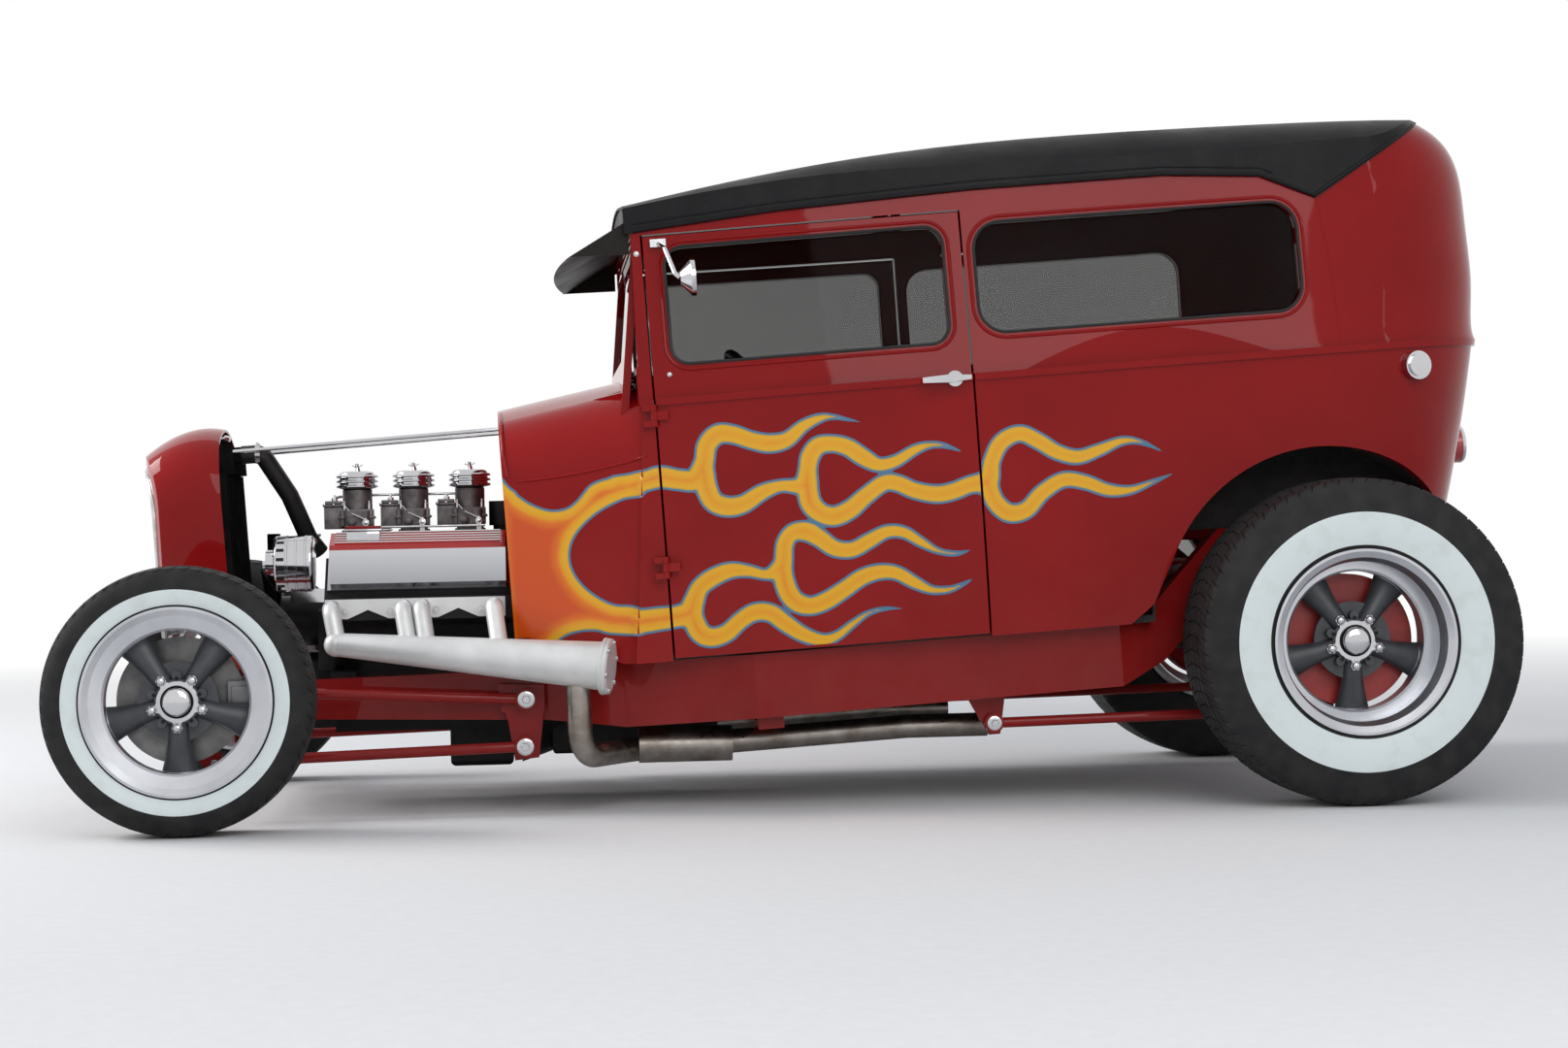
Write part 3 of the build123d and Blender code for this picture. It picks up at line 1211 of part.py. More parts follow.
body_nodes = {
    "cowl": cowl,
    "quarter_left": lambda: left_quarter,
    "quarter_right": lambda: mirror(left_quarter, about=Plane.XZ),
    "rear_panel": rear_panel,
    "roof": roof_panel,
    "roof_cover": roof_cover,
    "visor": visor,
    "windshield_frame": windshield_frame,
    "fixed_glass": fixed_glass,
    "floor_pan": floor_pan,
    "door_left": lambda: left_door,
    "door_right": lambda: mirror(left_door, about=Plane.XZ),
    "door_glass_left": lambda: left_pane,
    "door_glass_right": lambda: mirror(left_pane, about=Plane.XZ),
    "door_trim_left": lambda: [door_handle(), door_mirror()],
    "door_trim_right": lambda: mirror(door_handle(), about=Plane.XZ),
    "radiator_shell": radiator_shell,
    "grille": grille,
    "radiator": radiator,
    "stay_rods": stay_rods,
    "dashboard": dashboard,
    "steering_wheel": steering_wheel,
    "front_seat": front_seat,
    "rear_seat": rear_seat,
    "tail_lamps": tail_lamps,
    "fuel_cap": fuel_cap,
}
level_nodes = {
    "radiator_hose": radiator_hose,
    "fan": lambda: [fan(), crank_pulley()],
    "engine_block": engine_block,
    "valve_covers": valve_covers,
    "intake_manifold": intake_manifold,
    "carburettors": carburettors,
    "air_cleaners": air_cleaners,
    "headers": lambda: both_sides(header()),
    "exhaust_pipes": exhaust_pair,
    "alternator": alternator,
    "oil_pan": oil_pan,
    "gearbox": gearbox,
    "front_axle": front_axle,
    "radius_rods": lambda: [part for bar in radius_rods() for part in both_sides(bar)],
    "rear_axle": rear_axle,
    "trailing_bars": lambda: both_sides(trailing_bars()),
    "drive_shaft": drive_shaft,
    "tie_rod": tie_rod,
}

for node, make in body_nodes.items():
    save(node, [raked(solid) for solid in sound_solids(make())])
for node, make in level_nodes.items():
    save(node, [level(solid) for solid in sound_solids(make())])
save("frame", frame_assembly())
save("knuckle_left", left_knuckle)
save("knuckle_right", mirror(left_knuckle, about=Plane.XZ))
for axle_name, axle, brake in (("front", front, front_brake()), ("rear", rear, rear_brake())):
    for part_name, shape in (("tyre", tyre(axle)), ("wheel", wheel(axle)), ("brake", brake)):
        for side in ("left", "right"):
            save(f"{part_name}_{axle_name}_{side}", place_wheel(shape, axle, side))
print("middle_x", middle_x, "rear_reach_x", rear_reach_x)
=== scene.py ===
"""Looks of a chopped two-door sedan hot rod: materials, flames, tyres, wheel trim, engine trim, seats and stage.

Metres, in the CAD's frame: +X to the tail, +Y to the car's right side, +Z up. Numbers given in millimetres are
places in the body frame, which leans nose down by the rake, or in the level frame, both measured from the ground
point under the front axle.
"""
from collections import namedtuple
from math import atan2, cos, pi, radians, sin, sqrt, tau

import bpy
import numpy as np
from mathutils import Matrix, Vector
from mathutils.bvhtree import BVHTree


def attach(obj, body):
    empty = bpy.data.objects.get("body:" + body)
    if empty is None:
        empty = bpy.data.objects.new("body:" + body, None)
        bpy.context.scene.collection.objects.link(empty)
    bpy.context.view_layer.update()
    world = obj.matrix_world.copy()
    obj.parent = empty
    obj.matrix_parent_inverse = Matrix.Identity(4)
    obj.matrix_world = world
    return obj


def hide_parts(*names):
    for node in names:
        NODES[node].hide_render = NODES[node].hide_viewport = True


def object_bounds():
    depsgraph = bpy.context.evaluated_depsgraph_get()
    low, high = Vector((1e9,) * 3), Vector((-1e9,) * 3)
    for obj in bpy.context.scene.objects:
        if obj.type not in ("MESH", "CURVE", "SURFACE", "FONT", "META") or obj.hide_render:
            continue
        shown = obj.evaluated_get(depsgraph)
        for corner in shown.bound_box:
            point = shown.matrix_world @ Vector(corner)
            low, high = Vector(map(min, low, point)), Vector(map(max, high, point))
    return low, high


bl_info = {
    "name": "Hot rod looks",
    "version": (1, 0, 0),
    "blender": (4, 5, 0),
    "location": "3D View > Sidebar > Hot rod",
    "description": "Builds the materials and visible pieces of a hot rod sedan on its CAD frame",
    "category": "Object",
}

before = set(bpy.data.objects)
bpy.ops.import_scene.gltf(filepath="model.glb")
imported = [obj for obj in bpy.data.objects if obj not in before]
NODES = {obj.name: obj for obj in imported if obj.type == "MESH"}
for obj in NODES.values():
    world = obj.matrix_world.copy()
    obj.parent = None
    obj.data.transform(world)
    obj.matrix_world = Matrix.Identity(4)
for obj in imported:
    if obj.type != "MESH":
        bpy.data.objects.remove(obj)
LOW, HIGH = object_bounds()

# How far the body leans nose down
RAKE = radians(3.4)
# The CAD's origin, in millimetres behind the front axle
MIDDLE = 1380.5146
# The sign of y on each side
SIDES = {"left": -1, "right": 1}

# In millimetres: place behind the front axle, track, the tyre's radius and width, the rim's lip outside the wheel's
# middle, the hub's depth inside that lip, outer radius of the white wall and radius of the rim. Last, how often the
# tread's pattern repeats.
Axle = namedtuple("Axle", "x track tyre_r tyre_w lip dish white_r rim_r pitches")
FRONT = Axle(0.0, 1406.0, 297.0, 185.0, 86.0, 26.0, 247.0, 208.5, 62)
REAR = Axle(2629.0, 1449.0, 369.0, 255.0, 124.0, 92.0, 297.0, 208.5, 72)
AXLES = {"front": FRONT, "rear": REAR}


# Places

def at_level(x, y, z):
    """A place of the level frame in millimetres, as a vector of the CAD's frame in metres."""
    return Vector((x - MIDDLE, y, z)) / 1000


def at_body(x, y, z):
    """A place of the body frame in millimetres, as a vector of the CAD's frame in metres."""
    return at_level(x * cos(RAKE) - z * sin(RAKE), y, x * sin(RAKE) + z * cos(RAKE))


def smooth_line(points, step, closed=False):
    """A Catmull-Rom line through points of any size, with a point about every step."""
    pts = [np.array(p, float) for p in points]
    if closed:
        pts = [pts[-1]] + pts + pts[:2]
    else:
        pts = [2 * pts[0] - pts[1]] + pts + [2 * pts[-1] - pts[-2]]
    line = []
    for a, b, c, d in zip(pts, pts[1:], pts[2:], pts[3:]):
        count = max(1, int(np.linalg.norm((c - b)[:2]) / step))
        for t in np.arange(count) / count:
            line.append(0.5 * (2 * b + (c - a) * t + (2 * a - 5 * b + 4 * c - d) * t ** 2
                               + (3 * b - a - 3 * c + d) * t ** 3))
    if not closed:
        line.append(pts[-2])
    return line


# Mesh code

# How far a trim piece starts inside what it stands on, in metres
SUNK = 0.001


def add_mesh(name, verts, faces, mats, indices=None, body="body"):
    """A smooth mesh object of the given materials, riding on a body."""
    mesh = bpy.data.meshes.new(name)
    mesh.from_pydata([tuple(v) for v in verts], [], faces)
    for mat in mats:
        mesh.materials.append(mat)
    if indices is not None:
        mesh.polygons.foreach_set("material_index", indices)
    mesh.polygons.foreach_set("use_smooth", [True] * len(mesh.polygons))
    mesh.update()
    obj = bpy.data.objects.new(name, mesh)
    bpy.context.scene.collection.objects.link(obj)
    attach(obj, body)
    return obj


class Heap:
    """Gathers the faces of many small shapes for one object."""

    def __init__(self):
        self.verts, self.faces, self.indices = [], [], []

    def add(self, verts, faces, index=0):
        """Add one shape with its material's number."""
        base = len(self.verts)
        self.verts += [Vector(v) for v in verts]
        self.faces += [tuple(base + i for i in face) for face in faces]
        self.indices += [index] * len(faces)

    def lathe(self, profile, matrix, index=0, count=48):
        """Turn (along, radius) points round the matrix's Z axis."""
        verts, faces = [], []
        for i in range(count):
            a = tau * i / count
            verts += [matrix @ Vector((r * cos(a), r * sin(a), z)) for z, r in profile]
        n = len(profile)
        for i in range(count):
            j = (i + 1) % count
            for k in range(n - 1):
                faces.append((i * n + k, j * n + k, j * n + k + 1, i * n + k + 1))
        faces.append(tuple(i * n for i in reversed(range(count))))
        faces.append(tuple(i * n + n - 1 for i in range(count)))
        self.add(verts, faces, index)

    def tube(self, points, radius, index=0, sides=10, closed=False):
        """A round bar along points."""
        pts = [Vector(p) for p in points]
        total = len(pts)
        last = Vector((0, 0, 1))
        verts, faces = [], []
        for i, p in enumerate(pts):
            before = pts[i - 1] if i or closed else p
            after = pts[(i + 1) % total] if i < total - 1 or closed else p
            way = (after - before).normalized()
            side = way.cross(last)
            if side.length < 0.05:
                side = way.orthogonal()
            side.normalize()
            last = side.cross(way)
            for k in range(sides):
                a = tau * k / sides
                verts.append(p + (side * cos(a) + last * sin(a)) * radius)
        rings = total if closed else total - 1
        for i in range(rings):
            for k in range(sides):
                a, b = i * sides, (i + 1) % total * sides
                m = (k + 1) % sides
                faces.append((a + k, b + k, b + m, a + m))
        if not closed:
            faces.append(tuple(range(sides)))
            faces.append(tuple((total - 1) * sides + k for k in reversed(range(sides))))
        self.add(verts, faces, index)

    def prism(self, outline, matrix, depth, index=0, bevel=0.0):
        """A flat outline of (x, y) points, from the matrix's z = 0 up to depth, with a bevelled top edge."""
        n = len(outline)
        cx = sum(p[0] for p in outline) / n
        cy = sum(p[1] for p in outline) / n
        rings = [(0.0, 0.0), (depth - bevel, 0.0)] + ([(depth, bevel)] if bevel else [])
        verts = []
        for z, shrink in rings:
            for x, y in outline:
                reach = sqrt((x - cx) ** 2 + (y - cy) ** 2) or 1
                k = 1 - shrink / reach
                verts.append(matrix @ Vector((cx + (x - cx) * k, cy + (y - cy) * k, z)))
        faces = [tuple(reversed(range(n)))]
        for ring in range(len(rings) - 1):
            for i in range(n):
                j = (i + 1) % n
                faces.append((ring * n + i, ring * n + j, (ring + 1) * n + j, (ring + 1) * n + i))
        top = (len(rings) - 1) * n
        faces.append(tuple(top + i for i in range(n)))
        self.add(verts, faces, index)

    def box(self, x0, x1, y0, y1, z0, z1, index=0, place=at_level):
        """A box between millimetre places of the level frame or of another one."""
        verts = [place(x, y, z) for x in (x0, x1) for y in (y0, y1) for z in (z0, z1)]
        self.add(verts, [(0, 1, 3, 2), (4, 6, 7, 5), (0, 4, 5, 1), (2, 3, 7, 6), (0, 2, 6, 4), (1, 5, 7, 3)], index)

    def make(self, name, mats, body="body", edge=40):
        """The object, shaded smooth up to an edge of so many degrees."""
        obj = add_mesh(name, self.verts, self.faces, mats, self.indices, body)
        obj.data.set_sharp_from_angle(angle=radians(edge))
        return obj


def bevelled(obj, width):
    """Round the object's edges for good."""
    modifier = obj.modifiers.new("round", "BEVEL")
    modifier.width = width
    modifier.segments = 3
    modifier.limit_method = "ANGLE"
    deps = bpy.context.evaluated_depsgraph_get()
    mesh = bpy.data.meshes.new_from_object(obj.evaluated_get(deps))
    obj.modifiers.clear()
    obj.data = mesh
    mesh.polygons.foreach_set("use_smooth", [True] * len(mesh.polygons))
    mesh.set_sharp_from_angle(angle=radians(35))


def facing(place, way):
    """A matrix at a place whose Z axis points along way."""
    return Matrix.Translation(place) @ Vector(way).normalized().to_track_quat("Z", "Y").to_matrix().to_4x4()


def round_places(count, r, start=0.0):
    """The (x, y) places of count points on a circle."""
    angles = [start + tau * k / count for k in range(count)]
    return [(r * cos(a), r * sin(a)) for a in angles]


def bolt(heap, place, way, r):
    """A hexagon head on a washer, standing on a place."""
    matrix = facing(place, way)
    washer_t, washer_r, head_t, bevel = r * 0.22, r * 1.45, r * 0.75, r * 0.12
    heap.lathe([(-SUNK, washer_r), (washer_t, washer_r)], matrix, 0, 20)
    heap.prism(round_places(6, r), matrix @ Matrix.Translation((0, 0, washer_t)), head_t, 0, bevel)


def stud(heap, place, way, r):
    """A small domed stud, standing on a place."""
    heap.lathe([(-SUNK, r), (0.0012, r), (0.003, r * 0.6), (0.0034, 0.0005)], facing(place, way), 0, 24)


_trees = {}


def surface_tree(*names):
    """A search tree over the outside of CAD nodes."""
    if names not in _trees:
        verts, faces = [], []
        for name in names:
            base = len(verts)
            mesh = NODES[name].data
            verts += [v.co.copy() for v in mesh.vertices]
            faces += [tuple(base + i for i in p.vertices) for p in mesh.polygons]
        _trees[names] = BVHTree.FromPolygons(verts, faces)
    return _trees[names]


# How far out a look at the car's side starts, and how far in it goes, in metres
OUTSIDE, INWARD = 1.4, 1.3


def on_side(tree, place, side, lift):
    """The point of the car's side level with a place, lifted off the surface, or None."""
    start = Vector((place.x, side * OUTSIDE, place.z))
    hit, normal, _, _ = tree.ray_cast(start, Vector((0, -side, 0)), INWARD)
    if hit is None:
        return None
    if normal.y * side < 0:
        normal = -normal
    return hit + normal * lift


def side_line(tree, points, side, lift):
    """The (x, z) points of the body frame that meet the car's side, laid on it."""
    places = [on_side(tree, at_body(x, 0, z), side, lift) for x, z in points]
    return [place for place in places if place is not None]


# Materials

class Tree:
    """A node tree, with short ways to add nodes."""

    def __init__(self, tree, coords="Object"):
        self.tree = tree
        self.coords = self.add("ShaderNodeTexCoord").outputs[coords]

    def add(self, kind, inputs=(), **settings):
        """Add a node, set its options and join or set its inputs."""
        node = self.tree.nodes.new(kind)
        for key, value in settings.items():
            setattr(node, key, value)
        for key, value in dict(inputs).items():
            self.feed(node.inputs[key], value)
        return node

    def feed(self, socket, value):
        """Join a socket to an output, or give it a number or a colour."""
        if isinstance(value, bpy.types.NodeSocket):
            self.tree.links.new(value, socket)
        elif isinstance(value, tuple):
            socket.default_value = (*value, 1)
        else:
            socket.default_value = value

    def math(self, operation, a, b=0.0):
        """One sum."""
        return self.add("ShaderNodeMath", {0: a, 1: b}, operation=operation).outputs[0]

    def split(self, vector):
        """The three parts of a vector."""
        return self.add("ShaderNodeSeparateXYZ", {0: vector}).outputs

    def noise(self, scale, detail=4.0):
        """Noise between 0 and 1."""
        return self.add("ShaderNodeTexNoise", {"Vector": self.coords, "Scale": scale, "Detail": detail,
                                               "Roughness": 0.55}).outputs[0]

    def drift(self, scale, low, high, detail=4.0):
        """A number that wanders between two values."""
        return self.span(self.noise(scale, detail), 0.3, 0.7, low, high)

    def ramp(self, factor, stops):
        """A colour ramp of (place, colour) stops."""
        node = self.add("ShaderNodeValToRGB", {"Fac": factor})
        bar = node.color_ramp.elements
        while len(bar) < len(stops):
            bar.new(0.5)
        for element, (place, colour) in zip(bar, stops):
            element.position = place
            element.color = (*colour, 1)
        return node.outputs["Color"]

    def span(self, value, low, high, to_low=0.0, to_high=1.0):
        """Map a range to another one, held at its ends."""
        return self.add("ShaderNodeMapRange", {"Value": value, "From Min": low, "From Max": high, "To Min": to_low,
                                               "To Max": to_high}).outputs[0]

    def mix(self, factor, a, b):
        """Mix two colours."""
        return self.add("ShaderNodeMix", {"Factor": factor, 6: a, 7: b}, data_type="RGBA").outputs[2]

    def radius(self, axle):
        """The distance from an axle."""
        x, _, z = self.split(self.coords)
        dx = self.math("SUBTRACT", x, (axle.x - MIDDLE) / 1000)
        dz = self.math("SUBTRACT", z, axle.tyre_r / 1000)
        square = self.math("ADD", self.math("MULTIPLY", dx, dx), self.math("MULTIPLY", dz, dz))
        return self.math("SQRT", square)

    def bump(self, height, distance, strength=1.0, under=None):
        """A bump on the shader's normal."""
        inputs = {"Height": height, "Distance": distance, "Strength": strength}
        if under is not None:
            inputs["Normal"] = under
        return self.add("ShaderNodeBump", inputs).outputs["Normal"]

    def seen_rays(self):
        """1 for what the camera, shiny surfaces and glass see, 0 for the light on dull surfaces."""
        path = self.add("ShaderNodeLightPath").outputs
        shiny = self.math("MAXIMUM", path["Is Camera Ray"], path["Is Glossy Ray"])
        return self.math("MAXIMUM", shiny, path["Is Transmission Ray"])


class Nodes(Tree):
    """The node tree of a new material."""

    def __init__(self, name):
        self.mat = bpy.data.materials.new(name)
        self.mat.use_nodes = True
        super().__init__(self.mat.node_tree)
        self.shader = self.tree.nodes["Principled BSDF"]

    def finish(self, colour, rough, metal=0.0, normal=None, **sockets):
        """Join the colour, roughness, metal and normal to the shader and set its other sockets."""
        inputs = self.shader.inputs
        self.feed(inputs["Base Color"], colour)
        self.feed(inputs["Roughness"], rough)
        self.feed(inputs["Metallic"], metal)
        if normal is not None:
            self.feed(inputs["Normal"], normal)
        for key, value in sockets.items():
            inputs[key.replace("_", " ")].default_value = value
        return self.mat


def plain(name, light, dark, rough, spread=0.05, scale=18.0, metal=0.0, grain=0.0, grain_scale=400.0, **sockets):
    """A mottled material: colour and roughness wander between two values, with a fine grain."""
    nodes = Nodes(name)
    colour = nodes.mix(nodes.span(nodes.noise(scale), 0.35, 0.65), dark, light)
    roughness = nodes.drift(scale * 2.3, rough - spread, rough + spread)
    normal = nodes.bump(nodes.noise(grain_scale, 6.0), grain) if grain else None
    return nodes.finish(colour, roughness, metal, normal, **sockets)


def lacquered(nodes, colour, coat_ior):
    """A colour under clear lacquer with a little orange peel."""
    normal = nodes.bump(nodes.noise(260.0, 2.0), 0.00006, 0.35)
    return nodes.finish(colour, nodes.drift(9.0, 0.20, 0.28), 0.0, normal, Specular_IOR_Level=0.0, Coat_Weight=0.8,
                        Coat_IOR=coat_ior)


def body_paint(name, colour, deep):
    """Deep gloss paint with a faint drift of colour and a film of dust low down."""
    nodes = Nodes(name)
    paint = nodes.mix(nodes.drift(3.0, 0.0, 1.0), deep, colour)
    height = nodes.split(nodes.coords)[2]
    dust = nodes.math("MULTIPLY", nodes.span(height, 0.75, 0.2, 0.0, 0.10), nodes.noise(14.0, 8.0))
    return lacquered(nodes, nodes.mix(dust, paint, (0.30, 0.22, 0.17)), 1.3)


def vinyl(name, colour):
    """Black grained vinyl: small cells with soft valleys and a satin shine."""
    nodes = Nodes(name)
    cells = nodes.add("ShaderNodeTexVoronoi", {"Vector": nodes.coords, "Scale": 520.0}).outputs["Distance"]
    folds = nodes.noise(7.0, 2.0)
    normal = nodes.bump(cells, 0.0005, 0.6, nodes.bump(folds, 0.004, 0.5))
    dusty = nodes.mix(nodes.span(nodes.noise(25.0, 8.0), 0.5, 0.8, 0.0, 0.2), colour, (0.035, 0.034, 0.032))
    return nodes.finish(dusty, nodes.span(folds, 0.3, 0.7, 0.38, 0.52), 0.0, normal, Specular_IOR_Level=0.15)


def leather(name, colour, deep):
    """Seat leather with a fine cracked grain."""
    nodes = Nodes(name)
    cells = nodes.add("ShaderNodeTexVoronoi", {"Vector": nodes.coords, "Scale": 260.0},
                      feature="DISTANCE_TO_EDGE").outputs["Distance"]
    normal = nodes.bump(nodes.span(cells, 0.0, 0.15), 0.0004, 0.7)
    return nodes.finish(nodes.mix(nodes.drift(12.0, 0.0, 1.0), deep, colour), nodes.drift(40.0, 0.4, 0.55), 0.0, normal)


def tyre_rubber(name):
    """Dark rubber, dusty in places."""
    nodes = Nodes(name)
    tone = nodes.mix(nodes.span(nodes.noise(30.0, 8.0), 0.4, 0.7), (0.009, 0.009, 0.010), (0.022, 0.021, 0.020))
    normal = nodes.bump(nodes.noise(900.0, 3.0), 0.0003, 0.5)
    return nodes.finish(tone, nodes.drift(60.0, 0.55, 0.72), 0.0, normal, Specular_IOR_Level=0.25)


def white_rubber(name, colour):
    """The tyres' white band, with some road dust."""
    nodes = Nodes(name)
    tone = nodes.mix(nodes.span(nodes.noise(22.0, 8.0), 0.5, 0.85, 0.0, 0.5), colour, (0.52, 0.54, 0.50))
    normal = nodes.bump(nodes.noise(300.0, 3.0), 0.0002, 0.4)
    return nodes.finish(tone, nodes.drift(60.0, 0.42, 0.55), 0.0, normal)


# Where a wheel's turned rim begins, in metres from its axle
TURNED_R = 0.156


def wheel_metal(name, axle):
    """A cast wheel: grey satin paint in the middle, turned bright metal on the outer rim."""
    nodes = Nodes(name)
    r = nodes.radius(axle)
    bright = nodes.math("GREATER_THAN", r, TURNED_R)
    rings = nodes.math("SINE", nodes.math("MULTIPLY", r, 2600.0))
    paint = nodes.mix(nodes.drift(30.0, 0.0, 1.0), (0.030, 0.032, 0.036), (0.048, 0.050, 0.056))
    metal = nodes.mix(nodes.drift(8.0, 0.0, 1.0), (0.46, 0.47, 0.50), (0.58, 0.59, 0.62))
    rough = nodes.math("SUBTRACT", nodes.drift(50.0, 0.40, 0.46), nodes.math("MULTIPLY", bright, 0.12))
    normal = nodes.bump(nodes.math("MULTIPLY", rings, bright), 0.00005, 0.15)
    return nodes.finish(nodes.mix(bright, paint, metal), rough, nodes.math("MULTIPLY", bright, 0.95), normal)


def brake_metal(name):
    """A cast front brake disc with a turned face."""
    nodes = Nodes(name)
    rings = nodes.math("SINE", nodes.math("MULTIPLY", nodes.radius(FRONT), 5200.0))
    colour = nodes.mix(nodes.drift(20.0, 0.0, 1.0), (0.10, 0.10, 0.105), (0.19, 0.185, 0.18))
    return nodes.finish(colour, nodes.span(rings, -1, 1, 0.34, 0.46), 0.9, nodes.bump(rings, 0.0001, 0.5))


# The depth inside the flames' edge, in metres, at which their colours end
FLAME_DEPTH = 0.05


def flame_paint(name, edge, body, core):
    """Airbrushed flames by depth from their edge: a thin line, then the body, then the core in the thick places."""
    nodes = Nodes(name)
    depth = nodes.add("ShaderNodeAttribute", attribute_name="depth").outputs["Fac"]
    wander = nodes.math("MULTIPLY", nodes.math("SUBTRACT", nodes.noise(11.0, 3.0), 0.5), 0.012)
    inner = nodes.math("ADD", depth, nodes.math("MULTIPLY", wander, nodes.span(depth, 0.008, 0.02)))
    colour = nodes.ramp(nodes.math("MULTIPLY", inner, 1 / FLAME_DEPTH), [
        (0.0, edge), (0.085, (0.08, 0.19, 0.31)), (0.13, (0.60, 0.33, 0.02)), (0.20, body),
        (0.44, (0.78, 0.34, 0.010)), (0.62, (0.74, 0.17, 0.010)), (1.0, core)])
    return lacquered(nodes, colour, 1.5)


# The valve covers' crown, in metres: its outer edge from the middle, its slope, and the band of height over that edge
# that is painted
CROWN_EDGE, CROWN_SLOPE, CROWN_PAINT = 0.312, 0.35, (0.6215, 0.6335)


def cover_chrome(name):
    """The valve covers: polished sides and fins with a painted reflection, darker towards the bottom, and red paint on
    the crown between the fins.
    """
    nodes = Nodes(name)
    _, y, z = nodes.split(nodes.coords)
    inward = nodes.math("SUBTRACT", CROWN_EDGE, nodes.math("ABSOLUTE", y))
    lift = nodes.math("SUBTRACT", z, nodes.math("MULTIPLY", inward, CROWN_SLOPE))
    red = nodes.math("MULTIPLY", nodes.math("GREATER_THAN", lift, CROWN_PAINT[0]),
                     nodes.math("LESS_THAN", lift, CROWN_PAINT[1]))
    # Painted reflection: the polished metal is painted darker low down and lighter high up, as if it showed the dark
    # ground below
    polish_and_painted_reflection = nodes.mix(nodes.span(z, 0.53, 0.62), (0.40, 0.40, 0.41), (0.62, 0.62, 0.64))
    return nodes.finish(nodes.mix(red, polish_and_painted_reflection, (0.36, 0.009, 0.010)), nodes.drift(30.0, 0.06, 0.12),
                        nodes.math("SUBTRACT", 1.0, red))


def glass_pane(name):
    """Clean tinted glass, a little uneven in its tint."""
    nodes = Nodes(name)
    tone = nodes.mix(nodes.noise(2.0), (0.30, 0.30, 0.30), (0.36, 0.36, 0.355))
    return nodes.finish(tone, 0.0, Transmission_Weight=1.0, IOR=1.08)


def chosen(colour):
    """One of the colours that the panel sets."""
    return tuple(getattr(bpy.context.scene.rod, colour))


_made = {}


def material(name):
    """A material of the car, made once."""
    if name not in _made:
        _made[name] = RECIPES[name](name)
    return _made[name]


RECIPES = {
    "body_red": lambda n: body_paint(n, chosen("paint"), chosen("deep_paint")),
    "frame_red": lambda n: body_paint(n, (0.25, 0.005, 0.006), (0.20, 0.004, 0.005)),
    "dash_red": lambda n: body_paint(n, (0.28, 0.012, 0.010), (0.22, 0.010, 0.008)),
    "drum_red": lambda n: plain(n, (0.36, 0.02, 0.015), (0.24, 0.012, 0.01), 0.35, grain=0.0004),
    "engine_black": lambda n: plain(n, (0.013, 0.012, 0.012), (0.007, 0.007, 0.007), 0.45, 0.1, grain=0.0006,
                                    Specular_IOR_Level=0.2),
    "black_paint": lambda n: plain(n, (0.010, 0.010, 0.011), (0.006, 0.006, 0.006), 0.40, 0.08,
                                   Specular_IOR_Level=0.15),
    "core_black": lambda n: plain(n, (0.014, 0.013, 0.013), (0.007, 0.007, 0.007), 0.75, 0.08, grain=0.0006,
                                  Specular_IOR_Level=0.0),
    "cover_black": lambda n: vinyl(n, chosen("cover")),
    "visor_black": lambda n: vinyl(n, (0.010, 0.007, 0.006)),
    "chrome": lambda n: plain(n, (0.60, 0.60, 0.62), (0.52, 0.52, 0.54), 0.08, 0.03, 8.0, 1.0),
    "carb_zinc": lambda n: plain(n, (0.17, 0.155, 0.155), (0.09, 0.08, 0.082), 0.45, 0.08, 40.0, 0.7, 0.0006, 700.0,
                                 Specular_IOR_Level=0.3),
    "cast_aluminium": lambda n: plain(n, (0.50, 0.49, 0.48), (0.34, 0.33, 0.32), 0.42, 0.08, 40.0, 1.0, 0.0006, 700.0),
    "header_coat": lambda n: plain(n, (0.74, 0.74, 0.73), (0.62, 0.62, 0.61), 0.38, 0.06, 9.0, 0.35, 0.0002, 900.0),
    "pipe_steel": lambda n: plain(n, (0.42, 0.39, 0.36), (0.22, 0.19, 0.16), 0.35, 0.1, 14.0, 1.0, 0.0003),
    "bright_steel": lambda n: plain(n, (0.62, 0.62, 0.62), (0.48, 0.48, 0.48), 0.24, 0.06, 30.0, 1.0),
    "hose_rubber": lambda n: plain(n, (0.012, 0.012, 0.013), (0.007, 0.007, 0.007), 0.42, 0.06, grain=0.0004,
                                   Specular_IOR_Level=0.35),
    "tyre_black": tyre_rubber,
    "tyre_white": lambda n: white_rubber(n, chosen("white_wall")),
    "caliper_silver": lambda n: plain(n, (0.20, 0.20, 0.21), (0.13, 0.13, 0.135), 0.42, 0.08, metal=0.5, grain=0.0008),
    "brake_disc": brake_metal,
    "flames": lambda n: flame_paint(n, chosen("flame_edge"), chosen("flame_body"), chosen("flame_core")),
    "valve_chrome": cover_chrome,
    "tinted_glass": glass_pane,
    "seat_leather": lambda n: leather(n, (0.085, 0.040, 0.026), (0.055, 0.025, 0.017)),
    "cabin_grey": lambda n: plain(n, (0.032, 0.028, 0.027), (0.020, 0.018, 0.018), 0.85, 0.08, grain=0.003),
    "rim_black": lambda n: plain(n, (0.018, 0.018, 0.018), (0.011, 0.011, 0.011), 0.22),
    "lamp_red": lambda n: plain(n, (0.42, 0.008, 0.006), (0.30, 0.005, 0.004), 0.12, 0.03, Coat_Weight=1.0),
    "piping_cream": lambda n: plain(n, (0.42, 0.36, 0.28), (0.32, 0.27, 0.21), 0.5, 0.06, grain=0.0003),
    "dial_cream": lambda n: plain(n, (0.62, 0.58, 0.48), (0.52, 0.48, 0.40), 0.4),
}

